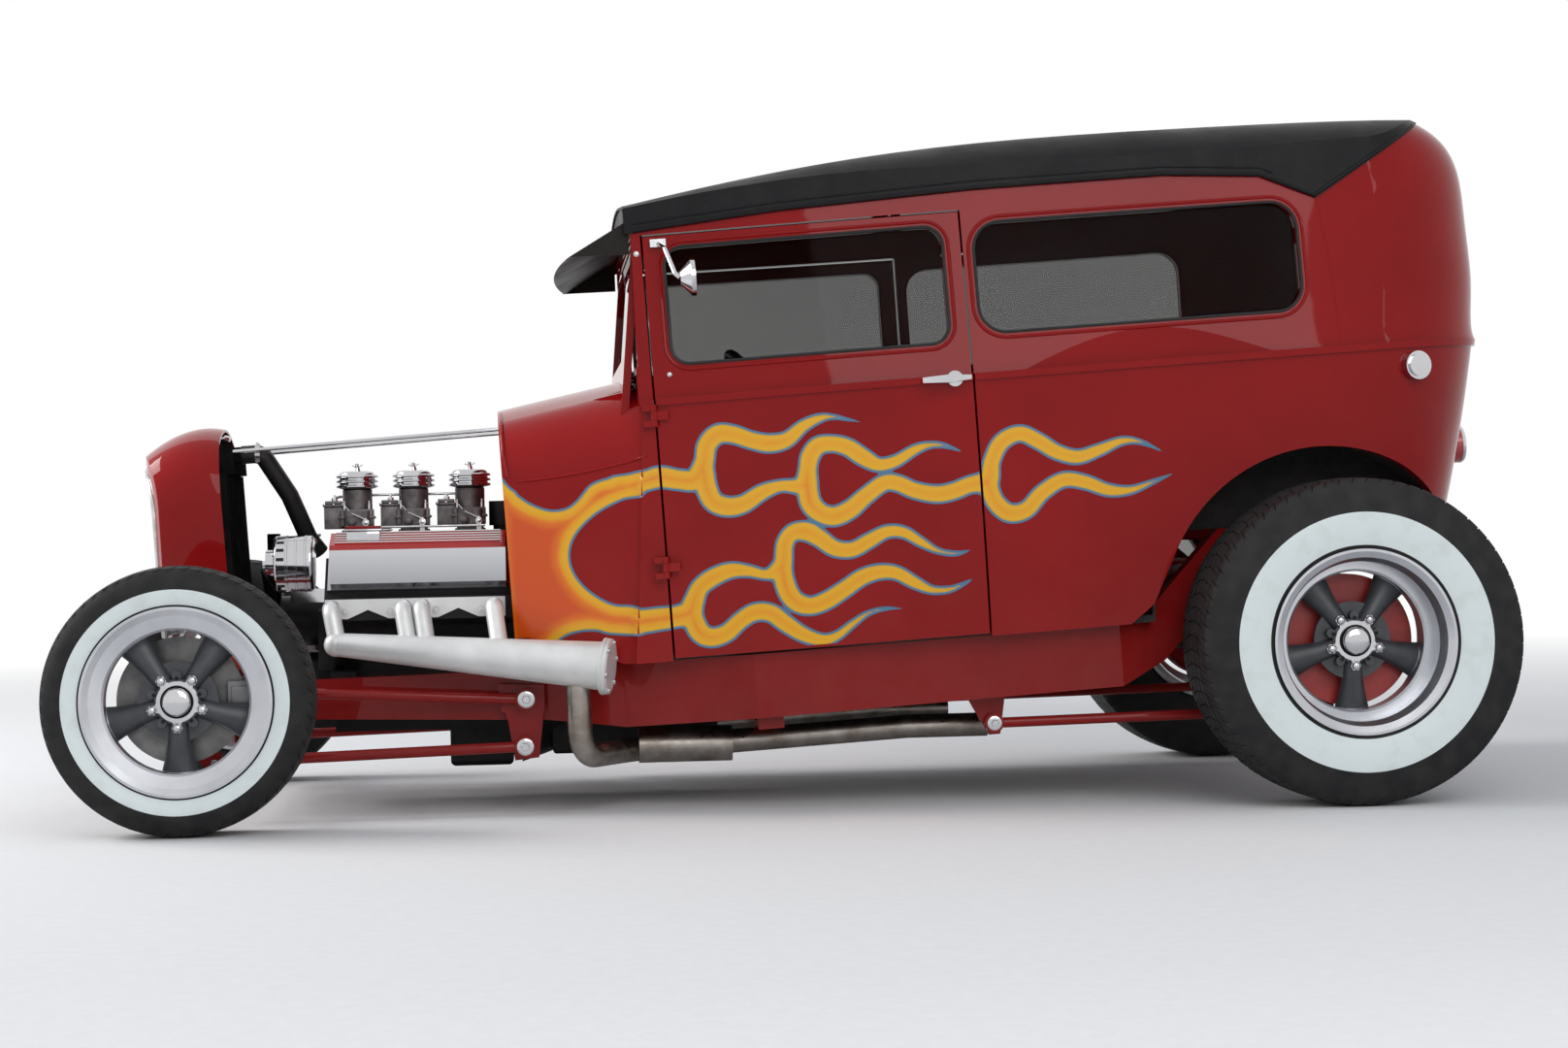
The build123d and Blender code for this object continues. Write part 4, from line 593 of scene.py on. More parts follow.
# Which material each CAD node shows
DRESS = {
    "body_red": ("cowl", "quarter_left", "quarter_right", "rear_panel", "roof", "windshield_frame", "door_left",
                 "door_right", "radiator_shell"),
    "frame_red": ("frame", "front_axle", "rear_axle", "knuckle_left", "knuckle_right", "tie_rod", "radius_rods",
                  "trailing_bars"),
    "cover_black": ("roof_cover",),
    "visor_black": ("visor",),
    "tinted_glass": ("fixed_glass", "door_glass_left", "door_glass_right"),
    "chrome": ("door_trim_left", "door_trim_right", "stay_rods", "fuel_cap", "air_cleaners", "alternator"),
    "valve_chrome": ("valve_covers",),
    "cast_aluminium": ("intake_manifold",),
    "carb_zinc": ("carburettors",),
    "engine_black": ("engine_block", "gearbox"),
    "header_coat": ("headers",),
    "pipe_steel": ("exhaust_pipes",),
    "black_paint": ("oil_pan", "fan", "drive_shaft"),
    "core_black": ("radiator",),
    "bright_steel": ("grille",),
    "hose_rubber": ("radiator_hose",),
    "brake_disc": ("brake_front_left", "brake_front_right"),
    "drum_red": ("brake_rear_left", "brake_rear_right"),
    "seat_leather": ("front_seat", "rear_seat"),
    "lamp_red": ("tail_lamps",),
    "cabin_grey": ("floor_pan",),
    "dash_red": ("dashboard",),
    "rim_black": ("steering_wheel",),
    "tyre_black": ("tyre_front_left", "tyre_front_right", "tyre_rear_left", "tyre_rear_right"),
}


def dress(node, mat):
    """Give a CAD node one material."""
    data = NODES[node].data
    data.materials.clear()
    data.materials.append(mat)


# Stage

# The photograph's camera: a place in the level frame, and its yaw, pitch and roll in degrees
CAMERA_PLACE, CAMERA_TURN = (771.1, -7174.9, 655.1), (5.04, -0.03, -1.157)
CAMERA_LENS, CAMERA_SENSOR = 66.54, 36.0

# Name, place, what it lights, size and power of each lamp
LAMPS = (("lamp_front", (-6.5, 1.2, 4.2), (0, 0, 0.7), 3.5, 420.0),
         ("lamp_camera", (1.5, -7.5, 4.5), (0.2, 0, 0.7), 5.0, 230.0))

# The light of the sky from below the horizon up to the top
SKY = [(0.0, (0.40, 0.38, 0.36)), (0.24, (0.46, 0.43, 0.40)), (0.30, (0.86, 0.88, 0.92)), (1.0, (0.80, 0.88, 1.0))]
# Where the floor starts to fade to white and where it is white, in metres from the middle
FLOOR_FADE = (3.0, 9.0)


def make_camera():
    """The camera at the photograph's place."""
    yaw, pitch, roll = (radians(angle) for angle in CAMERA_TURN)
    ahead = Vector((sin(yaw) * cos(pitch), cos(yaw) * cos(pitch), -sin(pitch)))
    level = Vector((cos(yaw), -sin(yaw), 0))
    upright = level.cross(ahead)
    right = level * cos(roll) + upright * sin(roll)
    up = upright * cos(roll) - level * sin(roll)
    cam = bpy.data.objects.new("camera", bpy.data.cameras.new("camera"))
    cam.matrix_world = Matrix.Translation(at_level(*CAMERA_PLACE)) @ Matrix((right, up, -ahead)).transposed().to_4x4()
    cam.data.lens = CAMERA_LENS
    cam.data.sensor_width = CAMERA_SENSOR
    cam.data.clip_end = 200.0
    bpy.context.scene.collection.objects.link(cam)
    bpy.context.scene.camera = cam


def add_lamp(name, place, target, size, power):
    """A soft square lamp."""
    data = bpy.data.lights.new(name, "AREA")
    data.size = size
    data.energy = power
    lamp = bpy.data.objects.new(name, data)
    lamp.matrix_world = facing(Vector(place), Vector(place) - Vector(target))
    bpy.context.scene.collection.objects.link(lamp)


def make_world(light):
    """A sky that is white where it is seen, and softly graded for the light that it gives."""
    world = bpy.data.worlds.new("sky")
    bpy.context.scene.world = world
    world.use_nodes = True
    sky = Tree(world.node_tree, "Generated")
    graded = sky.ramp(sky.span(sky.split(sky.coords)[2], -0.3, 0.9), SKY)
    seen = sky.seen_rays()
    background = sky.tree.nodes["Background"].inputs
    sky.feed(background["Color"], sky.mix(seen, graded, (1, 1, 1)))
    sky.feed(background["Strength"], sky.span(seen, 0.0, 1.0, light, 1.0))


def make_floor(size):
    """A wide pale floor that keeps the shadow near the car and fades to the sky's white farther out."""
    half = size / 2
    mesh = bpy.data.meshes.new("floor")
    mesh.from_pydata([(-half, -half, 0), (half, -half, 0), (half, half, 0), (-half, half, 0)], [], [(0, 1, 2, 3)])
    floor = bpy.data.objects.new("floor", mesh)
    floor.location.z = LOW.z
    nodes = Nodes("floor_pale")
    tone = nodes.mix(nodes.noise(30.0, 8.0), (0.66, 0.65, 0.64), (0.74, 0.73, 0.72))
    normal = nodes.bump(nodes.noise(200.0), 0.002, 0.3)
    mesh.materials.append(nodes.finish(tone, nodes.drift(80.0, 0.75, 0.9), 0.0, normal))
    reach = nodes.add("ShaderNodeVectorMath", {0: nodes.coords}, operation="LENGTH").outputs["Value"]
    far = nodes.math("MULTIPLY", nodes.span(reach, *FLOOR_FADE), nodes.seen_rays())
    white = nodes.add("ShaderNodeEmission").outputs[0]
    blend = nodes.add("ShaderNodeMixShader", {0: far, 1: nodes.shader.outputs[0], 2: white})
    nodes.feed(nodes.tree.nodes["Material Output"].inputs["Surface"], blend.outputs[0])
    bpy.context.scene.collection.objects.link(floor)


# Tyres

def arc(a, b, c, count):
    """Points on the circle through three (along, radius) points."""
    ax, ay, bx, by, cx, cy = *a, *b, *c
    d = 2 * (ax * (by - cy) + bx * (cy - ay) + cx * (ay - by))
    ux = ((ax * ax + ay * ay) * (by - cy) + (bx * bx + by * by) * (cy - ay) + (cx * cx + cy * cy) * (ay - by)) / d
    uy = ((ax * ax + ay * ay) * (cx - bx) + (bx * bx + by * by) * (ax - cx) + (cx * cx + cy * cy) * (bx - ax)) / d
    r = sqrt((ax - ux) ** 2 + (ay - uy) ** 2)
    start, mid, end = (atan2(y - uy, x - ux) for x, y in (a, b, c))
    way = 1 if ((mid - start) % tau) < ((end - start) % tau) else -1
    sweep = (end - start) % tau if way > 0 else -((start - end) % tau)
    angles = [start + sweep * t / count for t in range(count + 1)]
    return [(ux + r * cos(angle), uy + r * sin(angle)) for angle in angles]


# Where the tread's four grooves run, as shares of the crown's half width
GROOVES = (-0.58, -0.20, 0.20, 0.58)
# Where the tread is cut across in each pitch, as shares of it, and which of these places lie in the ribs' cut and in
# the shoulders' cut
SLOTS, RIB_CUT, SHOULDER_CUT = (0.0, 0.30, 0.34, 0.40, 0.44, 0.86, 0.90, 0.96), (2, 3), (6, 7)
# How far the cuts trail at the shoulders, in pitches
TRAIL = 0.9


def tyre_profile(axle, depth):
    """(along, radius, kind) points from the outer bead over the tread to the inner bead, in millimetres."""
    half, bead, r = axle.tyre_w / 2, axle.lip - 7.3, axle.tyre_r
    white_lift, rib_lift, crown_drop = 1.1, 0.8, 2.5
    groove = ((-4.2, 0), (-3.0, depth), (3.0, depth), (4.2, 0))
    side = arc((-bead, axle.rim_r + 0.5), (-half, axle.rim_r + 0.38 * (r - axle.rim_r)), (12 - half, r - 13), 18)
    points = []
    for y, rad in side:
        white = white_lift if axle.rim_r + 3 < rad < axle.white_r else 0.0
        rib = rib_lift if axle.white_r + 7 < rad < axle.white_r + 9 else 0.0
        points.append((y - white - rib, rad, "white" if white else "wall"))
    crown = half - 30
    shoulder = [(18 - half, r - 5, "shoulder"), (-crown, r - crown_drop, "shoulder")]
    points += shoulder
    for share in GROOVES:
        for step, low in groove:
            y = share * crown + step
            points.append((y, r - crown_drop * (y / crown) ** 2 - low, "groove" if low else "rib"))
    points += [(-y, rad, kind) for y, rad, kind in reversed(shoulder)]
    points += [(-y, rad, "wall") for y, rad in reversed(side)]
    return points


def build_tyre(name, node, axle, side, body, depth):
    """A tyre with a white wall and a cut tread, in place of the CAD's plain one."""
    profile = tyre_profile(axle, depth)
    n = len(profile)
    sgn = SIDES[side]
    cx, cy, cz = (axle.x - MIDDLE) / 1000, sgn * axle.track / 2000, axle.tyre_r / 1000
    verts = []
    for pitch in range(axle.pitches):
        for slot, share in enumerate(SLOTS):
            for y, rad, kind in profile:
                trail = TRAIL if kind in ("white", "wall") else TRAIL * (abs(y) / (axle.tyre_w / 2)) ** 1.5
                a = tau * (pitch + share + trail) / axle.pitches
                cut = 0.0
                if kind == "shoulder" and slot in SHOULDER_CUT:
                    cut = depth * 0.8
                if kind == "rib" and slot in RIB_CUT:
                    cut = depth * 0.7
                reach = (rad - cut) / 1000
                verts.append((cx + reach * cos(a), cy - sgn * y / 1000, cz + reach * sin(a)))
    faces, indices = [], []
    total = axle.pitches * len(SLOTS)
    for i in range(total):
        j = (i + 1) % total
        for k in range(n):
            m = (k + 1) % n
            face = (i * n + k, j * n + k, j * n + m, i * n + m)
            faces.append(face if sgn > 0 else tuple(reversed(face)))
            indices.append(1 if profile[k][2] == profile[m][2] == "white" else 0)
    obj = add_mesh(name, verts, faces, [material("tyre_black"), material("tyre_white")], indices, body)
    obj.data.set_sharp_from_angle(angle=radians(38))
    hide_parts(node)


# Wheel trim, in metres

# The lobed ring's radius between its five lobes and how far these reach out
RING_R, LOBE = 0.0465, 0.0135
# The circles on which the holes in the lobes and the lug nuts lie
HOLE_CIRCLE, NUT_CIRCLE = 0.0515, 0.05715


def build_wheel_trim(name, axle, side, body):
    """The chrome lobed ring with its domed cap and the five lug nuts."""
    sgn = SIDES[side]
    heap = Heap()
    hub_y = sgn * (axle.track / 2 + axle.lip - axle.dish) / 1000
    centre = Vector(((axle.x - MIDDLE) / 1000, hub_y, axle.tyre_r / 1000))
    out = facing(centre, (0, sgn, 0))
    lobes = []
    for k in range(100):
        a = tau * k / 100
        reach = RING_R + LOBE * max(0.0, cos(5 * (a - pi / 2) + pi)) ** 3
        lobes.append((reach * cos(a), reach * sin(a)))
    heap.prism(lobes, out @ Matrix.Translation((0, 0, -0.0075)), 0.0085, 0, 0.0015)
    heap.lathe([(0.0008, 0.0365), (0.005, 0.0358), (0.0056, 0.0342), (0.004, 0.0325), (0.001, 0.0322)], out, 1)
    heap.lathe([(0.001, 0.0318), (0.011, 0.0315), (0.0155, 0.0300), (0.0185, 0.026), (0.0205, 0.019), (0.0215, 0.010),
                (0.0218, 0.0008)], out, 0)
    for hole, nut in zip(round_places(5, HOLE_CIRCLE, pi / 2), round_places(5, NUT_CIRCLE, 0.7 * pi)):
        heap.lathe([(0.0, 0.0042), (0.0004, 0.0042)], out @ Matrix.Translation((*hole, 0.0009)), 1, 16)
        foot = out @ Matrix.Translation((*nut, -0.014))
        heap.prism(round_places(6, 0.0125), foot, 0.017, 0, 0.001)
        heap.lathe([(0.0165, 0.0098), (0.021, 0.0088), (0.0238, 0.0060), (0.0248, 0.0006)], foot, 0, 20)
    obj = heap.make(name, [material("chrome"), material("black_paint")], body)


# Flames, in millimetres of the body frame

# Each stroke is a line of (x, z, half width)
STROKES = (
    ((1018, 693, 27.4), (1073, 698, 25.7), (1116, 706, 28.0), (1158, 697, 26.6), (1194, 695, 27.4), (1218, 731, 25.7),
     (1228, 770, 25.7), (1254, 793, 25.7), (1288, 790, 24.0), (1330, 773, 23.1), (1369, 763, 24.0), (1409, 768, 21.4),
     (1447, 795, 17.1), (1484, 810, 12.9), (1515, 812, 7.7), (1550, 803, 4.3), (1583, 794, 0.4)),
    ((1216, 711, 27.1), (1220, 672, 27.3), (1233, 641, 26.4), (1263, 627, 25.7), (1300, 630, 24.0), (1344, 653, 21.4),
     (1385, 664, 17.1), (1421, 661, 19.7), (1444, 661, 25.4)),
    ((1448, 675, 26.4), (1452, 701, 24.0), (1459, 726, 24.9), (1478, 748, 24.0), (1510, 751, 22.3), (1545, 740, 23.1),
     (1578, 715, 23.1), (1612, 695, 18.9), (1652, 700, 17.1), (1694, 721, 14.6), (1729, 730, 10.3), (1765, 726, 6.9),
     (1813, 704, 0.4)),
    ((1447, 665, 26.4), (1452, 621, 27.4), (1474, 595, 25.7), (1505, 586, 25.7), (1541, 599, 24.9), (1579, 627, 23.1),
     (1621, 652, 22.3), (1652, 649, 22.3), (1690, 630, 22.3), (1737, 618, 23.1), (1776, 621, 23.1), (1817, 633, 23.0),
     (1857, 636, 25.4)),
    ((977, 384, 28.9), (1048, 381, 30.6), (1088, 383, 30.0), (1126, 385, 28.3), (1158, 392, 29.9), (1172, 418, 26.4),
     (1188, 448, 24.0), (1220, 469, 24.0), (1260, 481, 21.4), (1299, 477, 17.1), (1338, 466, 15.4), (1368, 472, 23.0)),
    ((1162, 391, 27.1), (1179, 347, 27.3), (1205, 332, 25.7), (1240, 339, 24.0), (1274, 365, 23.1), (1307, 381, 24.0),
     (1343, 377, 24.0), (1376, 350, 23.1), (1414, 322, 20.6), (1456, 306, 17.1), (1491, 313, 13.7), (1529, 338, 11.1),
     (1566, 359, 7.7), (1607, 366, 5.1), (1647, 363, 0.4)),
    ((1374, 477, 24.7), (1381, 493, 24.0), (1387, 532, 23.1), (1407, 556, 23.1), (1439, 556, 25.7), (1466, 539, 24.0),
     (1499, 513, 22.3), (1539, 507, 21.4), (1579, 524, 20.6), (1620, 541, 18.0), (1659, 536, 16.3), (1696, 511, 13.7),
     (1734, 488, 8.6), (1774, 479, 6.9), (1813, 485, 0.4)),
    ((1377, 477, 24.7), (1380, 445, 26.4), (1389, 416, 26.4), (1407, 395, 25.7), (1437, 386, 24.0), (1474, 396, 24.0),
     (1515, 418, 23.1), (1557, 442, 22.3), (1598, 451, 20.6), (1636, 445, 18.9), (1674, 421, 17.1), (1712, 401, 12.0),
     (1751, 398, 9.4), (1783, 407, 6.0), (1816, 422, 0.4)),
    ((1844, 634, 24.0), (1862, 645, 25.0), (1870, 683, 22.8), (1895, 724, 22.8), (1938, 740, 21.6), (1980, 719, 21.6),
     (2019, 692, 20.4), (2067, 677, 19.2), (2118, 689, 16.8), (2171, 705, 12.0), (2215, 699, 7.2), (2272, 669, 0.6)),
    ((1857, 632, 24.4), (1871, 590, 24.2), (1901, 562, 24.2), (1941, 566, 23.0), (1980, 602, 21.8), (2030, 627, 20.6),
     (2080, 618, 19.4), (2132, 596, 17.0), (2184, 592, 12.2), (2235, 606, 7.4), (2288, 623, 0.6)),
)
# The field of flame on the cowl, as a closed outline of (x, z)
FIELD = ((730, 716), (779, 709), (795, 691), (826, 668), (864, 653), (900, 655), (926, 672), (955, 702), (988, 714),
         (1035, 717), (1083, 723), (1078, 668), (1031, 660), (974, 636), (932, 604), (907, 569), (901, 529), (915, 489),
         (944, 455), (989, 426), (1047, 412), (1054, 352), (992, 352), (945, 363), (905, 363), (873, 354), (851, 336),
         (838, 300), (838, 260), (730, 260))


# The panels that the flames run over, and where on them they are looked for along x
FLAMED = (("cowl", 757.5, 1114.6), ("door", 1120.4, 1839.6), ("quarter", 1845.4, 2300.0))
# Over how many millimetres two strokes melt into each other
BLEND = 2.5
# How high the flames are looked for, from and to, and how far they lie off the paint, in metres
FLAME_BAND, FLAME_LIFT = (296.0, 860.0), 0.0006


def flame_depth(x, z):
    """Depth inside the flames' edge in millimetres, negative outside, for arrays of places."""
    total = np.zeros_like(x)
    for stroke in STROKES:
        line = np.array(smooth_line(stroke, 4.0))
        best = np.full_like(x, -300.0)
        for px, pz, r in line:
            best = np.maximum(best, max(r, 0.1) - np.hypot(x - px, z - pz))
        total += np.exp(best / BLEND)
    ring = np.array(smooth_line(FIELD, 8.0, True))
    nearest = np.full_like(x, 1e6)
    inside = np.zeros(x.shape, bool)
    for (x0, z0), (x1, z1) in zip(ring, np.roll(ring, -1, 0)):
        dx, dz = x1 - x0, z1 - z0
        t = np.clip(((x - x0) * dx + (z - z0) * dz) / (dx * dx + dz * dz + 1e-9), 0, 1)
        nearest = np.minimum(nearest, np.hypot(x - x0 - t * dx, z - z0 - t * dz))
        if z0 != z1:
            inside ^= ((z0 > z) != (z1 > z)) & (x < (x1 - x0) * (z - z0) / (z1 - z0) + x0)
    total += np.exp(np.where(inside, nearest, -nearest) / BLEND)
    return BLEND * np.log(np.maximum(total, 1e-30))


def flame_sheet(name, tree, side, body, x0, x1, step):
    """The flames on one panel: a sheet cut at the flames' edge and laid on the panel's outside."""
    xs = np.linspace(x0, x1, int((x1 - x0) / step) + 1)
    zs = np.arange(*FLAME_BAND, step)
    grid_x, grid_z = np.meshgrid(xs, zs, indexing="ij")
    depth = flame_depth(grid_x, grid_z)
    verts, depths, known = [], [], {}

    def corner(key, x, z, d):
        if key not in known:
            place = on_side(tree, at_body(x, 0, z), side, FLAME_LIFT)
            known[key] = None if place is None else len(verts)
            if place is not None:
                verts.append(place)
                depths.append(max(d, 0.0) / 1000)
        return known[key]

    faces = []
    for i in range(len(xs) - 1):
        for j in range(len(zs) - 1):
            cell = [(i, j), (i + 1, j), (i + 1, j + 1), (i, j + 1)]
            if all(depth[c] <= 0 for c in cell):
                continue
            ring = []
            for a, b in zip(cell, cell[1:] + cell[:1]):
                da, db = depth[a], depth[b]
                if da > 0:
                    ring.append(corner(a, grid_x[a], grid_z[a], da))
                if (da > 0) != (db > 0):
                    t = da / (da - db)
                    x = grid_x[a] + t * (grid_x[b] - grid_x[a])
                    z = grid_z[a] + t * (grid_z[b] - grid_z[a])
                    ring.append(corner((min(a, b), max(a, b)), x, z, 0.0))
            if None in ring or len(ring) < 3:
                continue
            faces.append(tuple(ring) if side > 0 else tuple(reversed(ring)))
    if not faces:
        raise ValueError(f"no flames on {name}")
    obj = add_mesh(name, verts, faces, [material("flames")], None, body)
    layer = obj.data.attributes.new("depth", "FLOAT", "POINT")
    layer.data.foreach_set("value", depths)


# Body trim

def window_line(x0, x1, z0, z1, r, per_corner=8):
    """The points of a rounded rectangle in the body frame, at most 25 mm apart."""
    corners = ((x1 - r, z1 - r, 0.0), (x0 + r, z1 - r, pi / 2), (x0 + r, z0 + r, pi), (x1 - r, z0 + r, 1.5 * pi))
    points = []
    for cx, cz, start in corners:
        angles = [start + pi / 2 * k / per_corner for k in range(per_corner + 1)]
        points += [(cx + r * cos(a), cz + r * sin(a)) for a in angles]
    dense = []
    for (ax, az), (bx, bz) in zip(points, points[1:] + points[:1]):
        count = max(1, int(sqrt((bx - ax) ** 2 + (bz - az) ** 2) / 25))
        dense += [(ax + (bx - ax) * t / count, az + (bz - az) * t / count) for t in range(count)]
    return dense


# Each window's opening: x from and to, z from and to, and its corners' radius, in millimetres of the body frame
WINDOWS = {"door": (1168.0, 1797.0, 962.0, 1226.0, 40.0), "quarter": (1872.0, 2622.0, 977.0, 1226.0, 60.0)}
# The bead and the rubber round a window: millimetres outside the opening, radius and lift in metres, material
BEADS = ((15.0, 0.0042, 0.0002, 0), (3.0, 0.0040, -0.0016, 1))


def build_window_trim(name, panel, side_name):
    """The raised bead round a window and the rubber that holds its glass."""
    node = f"{panel}_{side_name}"
    x0, x1, z0, z1, r = WINDOWS[panel]
    heap = Heap()
    for grow, radius, lift, index in BEADS:
        line = window_line(x0 - grow, x1 + grow, z0 - grow, z1 + grow, r + grow)
        heap.tube(side_line(surface_tree(node), line, SIDES[side_name], lift), radius, index, 8, True)
    body = node if panel == "door" else "body"
    obj = heap.make(name, [material("body_red"), material("hose_rubber")], body)


# The lower edge of the roof cover as (x, z) of the body frame, in millimetres
HEM = ((1100.0, 1268.8), (1427.0, 1291.0), (1873.0, 1305.0), (2320.0, 1306.0), (2547.0, 1289.0), (2672.0, 1233.0),
       (2830.0, 1324.0), (2978.0, 1408.0))
# The cover's piping and its seam: rise over the hem, the last x, and radius in metres
PIPINGS = ((4.0, 2978.0, 0.0048), (20.0, 2600.0, 0.0022))


def build_roof_trim(name):
    """The piping along the cover's hem and the stitched seam above it."""
    hem = []
    for (ax, az), (bx, bz) in zip(HEM, HEM[1:]):
        count = max(2, int((bx - ax) / 30))
        hem += [(ax + (bx - ax) * t / count, az + (bz - az) * t / count) for t in range(count)]
    heap = Heap()
    for side in (-1, 1):
        for rise, end, radius in PIPINGS:
            line = [(x, z + rise) for x, z in hem if x <= end]
            heap.tube(side_line(surface_tree("roof_cover"), line, side, 0.0), radius, 0, 8)
    obj = heap.make(name, [material("cover_black")])


# Engine trim, in the level frame

# Where the three carburettors stand and where their air cleaners begin, in millimetres
CARB_PLACES, CLEANER_LOW = (355.0, 492.0, 629.0), 763.0
# An air cleaner's outline as (height, radius) in metres: foot, three fins, lid and the stem of its wing nut
CLEANER_PROFILE = [
    (0.0, 0.033), (0.003, 0.040), (0.005, 0.049), (0.0075, 0.0518), (0.010, 0.0518), (0.012, 0.049), (0.013, 0.0445),
    (0.0165, 0.0445), (0.0175, 0.049), (0.0195, 0.0518), (0.022, 0.0518), (0.024, 0.049), (0.025, 0.0445),
    (0.0285, 0.0445), (0.0295, 0.049), (0.0315, 0.0518), (0.034, 0.0518), (0.036, 0.049), (0.037, 0.0435),
    (0.041, 0.042), (0.0445, 0.037), (0.0460, 0.028), (0.0462, 0.0045), (0.0640, 0.0045), (0.0655, 0.0010)]
# The lid's height, and the wing nut's outline over it, in metres
LID = 0.0462
WINGS = [(-0.003, 0.002), (0.003, 0.002), (0.005, 0.009), (0.015, 0.014), (0.013, 0.0165), (0.003, 0.012),
         (-0.003, 0.012), (-0.013, 0.0165), (-0.015, 0.014), (-0.005, 0.009)]


def build_air_cleaners(name):
    """Three finned chrome air cleaners with their wing nuts."""
    heap = Heap()
    for x in CARB_PLACES:
        at = Matrix.Translation(at_level(x, 0, CLEANER_LOW))
        heap.lathe(CLEANER_PROFILE, at, 0, 64)
        nut = at @ Matrix.Translation((0, 0, LID))
        heap.lathe([(0.0, 0.009), (0.006, 0.007), (0.009, 0.0065)], nut, 0, 20)
        upright = nut @ Matrix.Rotation(pi / 2, 4, "X") @ Matrix.Translation((0, 0, -0.0012))
        heap.prism(WINGS, upright, 0.0024, 0, 0.0006)
    obj = heap.make(name, [material("chrome")])
    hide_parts("air_cleaners")


# The castings of a carburettor from its middle: x from and to, half width, z from and to, in millimetres
CASTINGS = ((-80, -35, 30, 668, 722), (-83, -31, 33, 722, 728), (-78, -38, 28, 728, 737), (-40, 38, 43, 674, 716),
            (-44, 42, 46, 692, 699))
# The fuel line over the float bowls, in millimetres
FUEL_LINE = [(655, 44, 748), (600, 44, 751), (540, 44, 751), (470, 44, 751), (400, 44, 751), (310, 44, 748),
             (292, 38, 744)]
LEVER = [(-0.006, -0.010), (0.006, -0.010), (0.005, 0.022), (0.0, 0.026), (-0.005, 0.022)]


def build_carb_castings(name):
    """The float bowls and bodies of the three carburettors."""
    heap = Heap()
    for x in CARB_PLACES:
        for x0, x1, half, z0, z1 in CASTINGS:
            heap.box(x + x0, x + x1, -half, half, z0, z1)
    obj = heap.make(name, [material("carb_zinc")])
    bevelled(obj, 0.0022)


def add_carb_side(heap, x, side):
    """The pump cover, the throttle's boss, lever and link, and the posts on one side of a carburettor."""
    def outward(dx, y, z):
        return facing(at_level(x + dx, side * y, z), (0, side, 0))

    heap.lathe([(0, 0.015), (0.006, 0.015), (0.010, 0.011), (0.012, 0.006), (0.018, 0.0058), (0.019, 0.002)],
               outward(-12, 43, 684), 0, 24)
    heap.lathe([(0, 0.0085), (0.016, 0.0085), (0.0165, 0.005), (0.028, 0.005), (0.029, 0.001)], outward(22, 43, 682),
               1, 16)
    heap.prism(LEVER, outward(22, 64, 668), 0.003, 1)
    for dx in (-30, 30):
        post = facing(at_level(x + dx, side * 38, 716), (0, 0, 1))
        heap.lathe([(0, 0.0045), (0.012, 0.0045), (0.013, 0.003), (0.020, 0.003)], post, 1, 12)
    link = [(-30, 38, 726), (-12, 50, 706), (22, 62, 690)]
    heap.tube([at_level(x + dx, side * y, z) for dx, y, z in link], 0.0022, 1, 8)


def build_carb_trim(name):
    """Flange bolts, screws, throttle rods and fuel line of the three carburettors."""
    heap = Heap()
    for x in CARB_PLACES:
        for dx in (-31, 31):
            for y in (-50, 50):
                bolt(heap, at_level(x + dx, y, 660), (0, 0, 1), 0.0052)
        for dx in (-79, -57, -35):
            for y in (-29, 29):
                heap.lathe([(0, 0.004), (0.0024, 0.0036)], facing(at_level(x + dx, y, 728), (0, 0, 1)), 1, 12)
        for side in (-1, 1):
            add_carb_side(heap, x, side)
    for side in (-1, 1):
        heap.tube([at_level(x, side * 66, 671) for x in (332, 480, 664)], 0.0030, 1)
    heap.tube([at_level(*p) for p in smooth_line(FUEL_LINE, 12)], 0.0035, 1)
    for x in CARB_PLACES:
        heap.tube([at_level(x - 58, y, z) for y, z in ((44, 750), (36, 746), (26, 733))], 0.0035, 1)
        heap.prism(round_places(6, 0.0075), facing(at_level(x - 58, 32, 735), (0, 0, 1)), 0.009, 1)
    obj = heap.make(name, [material("carb_zinc"), material("bright_steel")])


# A breather's base, rim and lid on the right: x, y and z from and to in millimetres, and the material
BREATHER = ((344, 422, 236, 292, 632, 662, 0), (338, 428, 230, 298, 662, 667, 0), (342, 424, 234, 294, 667, 674, 1))


def build_breather(name):
    """The polished breather box on the crown of each valve cover."""
    heap = Heap()
    for side in (-1, 1):
        for x0, x1, y0, y1, z0, z1, index in BREATHER:
            heap.box(x0, x1, *sorted((side * y0, side * y1)), z0, z1, index)
    obj = heap.make(name, [material("chrome"), material("frame_red")])
    bevelled(obj, 0.002)


# The bolts along a header's flange, and the ends of the left cone's middle line, in millimetres
FLANGE_BOLTS, CONE = (340.0, 444.0, 551.0, 654.0), ((322.0, -392.0, 400.0), (939.0, -545.0, 342.0))


def build_header_trim(name):
    """The bolts of the header flanges and of the cones' end caps."""
    heap = Heap()
    for side in (-1, 1):
        for x in FLANGE_BOLTS:
            bolt(heap, at_level(x, side * 310.4, 474), (0, side, 0), 0.0065)
        start, end = (at_level(x, -side * y, z) for x, y, z in CONE)
        way = (end - start).normalized()
        face = facing(end + way * 0.013, way)
        heap.lathe([(0.0, 0.058), (0.0018, 0.0565), (0.0022, 0.045)], face, 1, 48)
        for x, y in round_places(6, 0.0555, 0.3):
            bolt(heap, face @ Vector((x, y, 0.0005)), way, 0.0052)
        heap.lathe([(-0.017, 0.0650), (-0.011, 0.0655), (-0.0105, 0.0640)], face, 1, 48)
    obj = heap.make(name, [material("bright_steel"), material("header_coat")])


# The alternator's middle in y and z and the x of its face and of its pulley's nut, in millimetres
ALTERNATOR, ALTERNATOR_FACE, PULLEY_NUT = (-205.0, 587.0), 170.0, 149.0
VENTS = 18


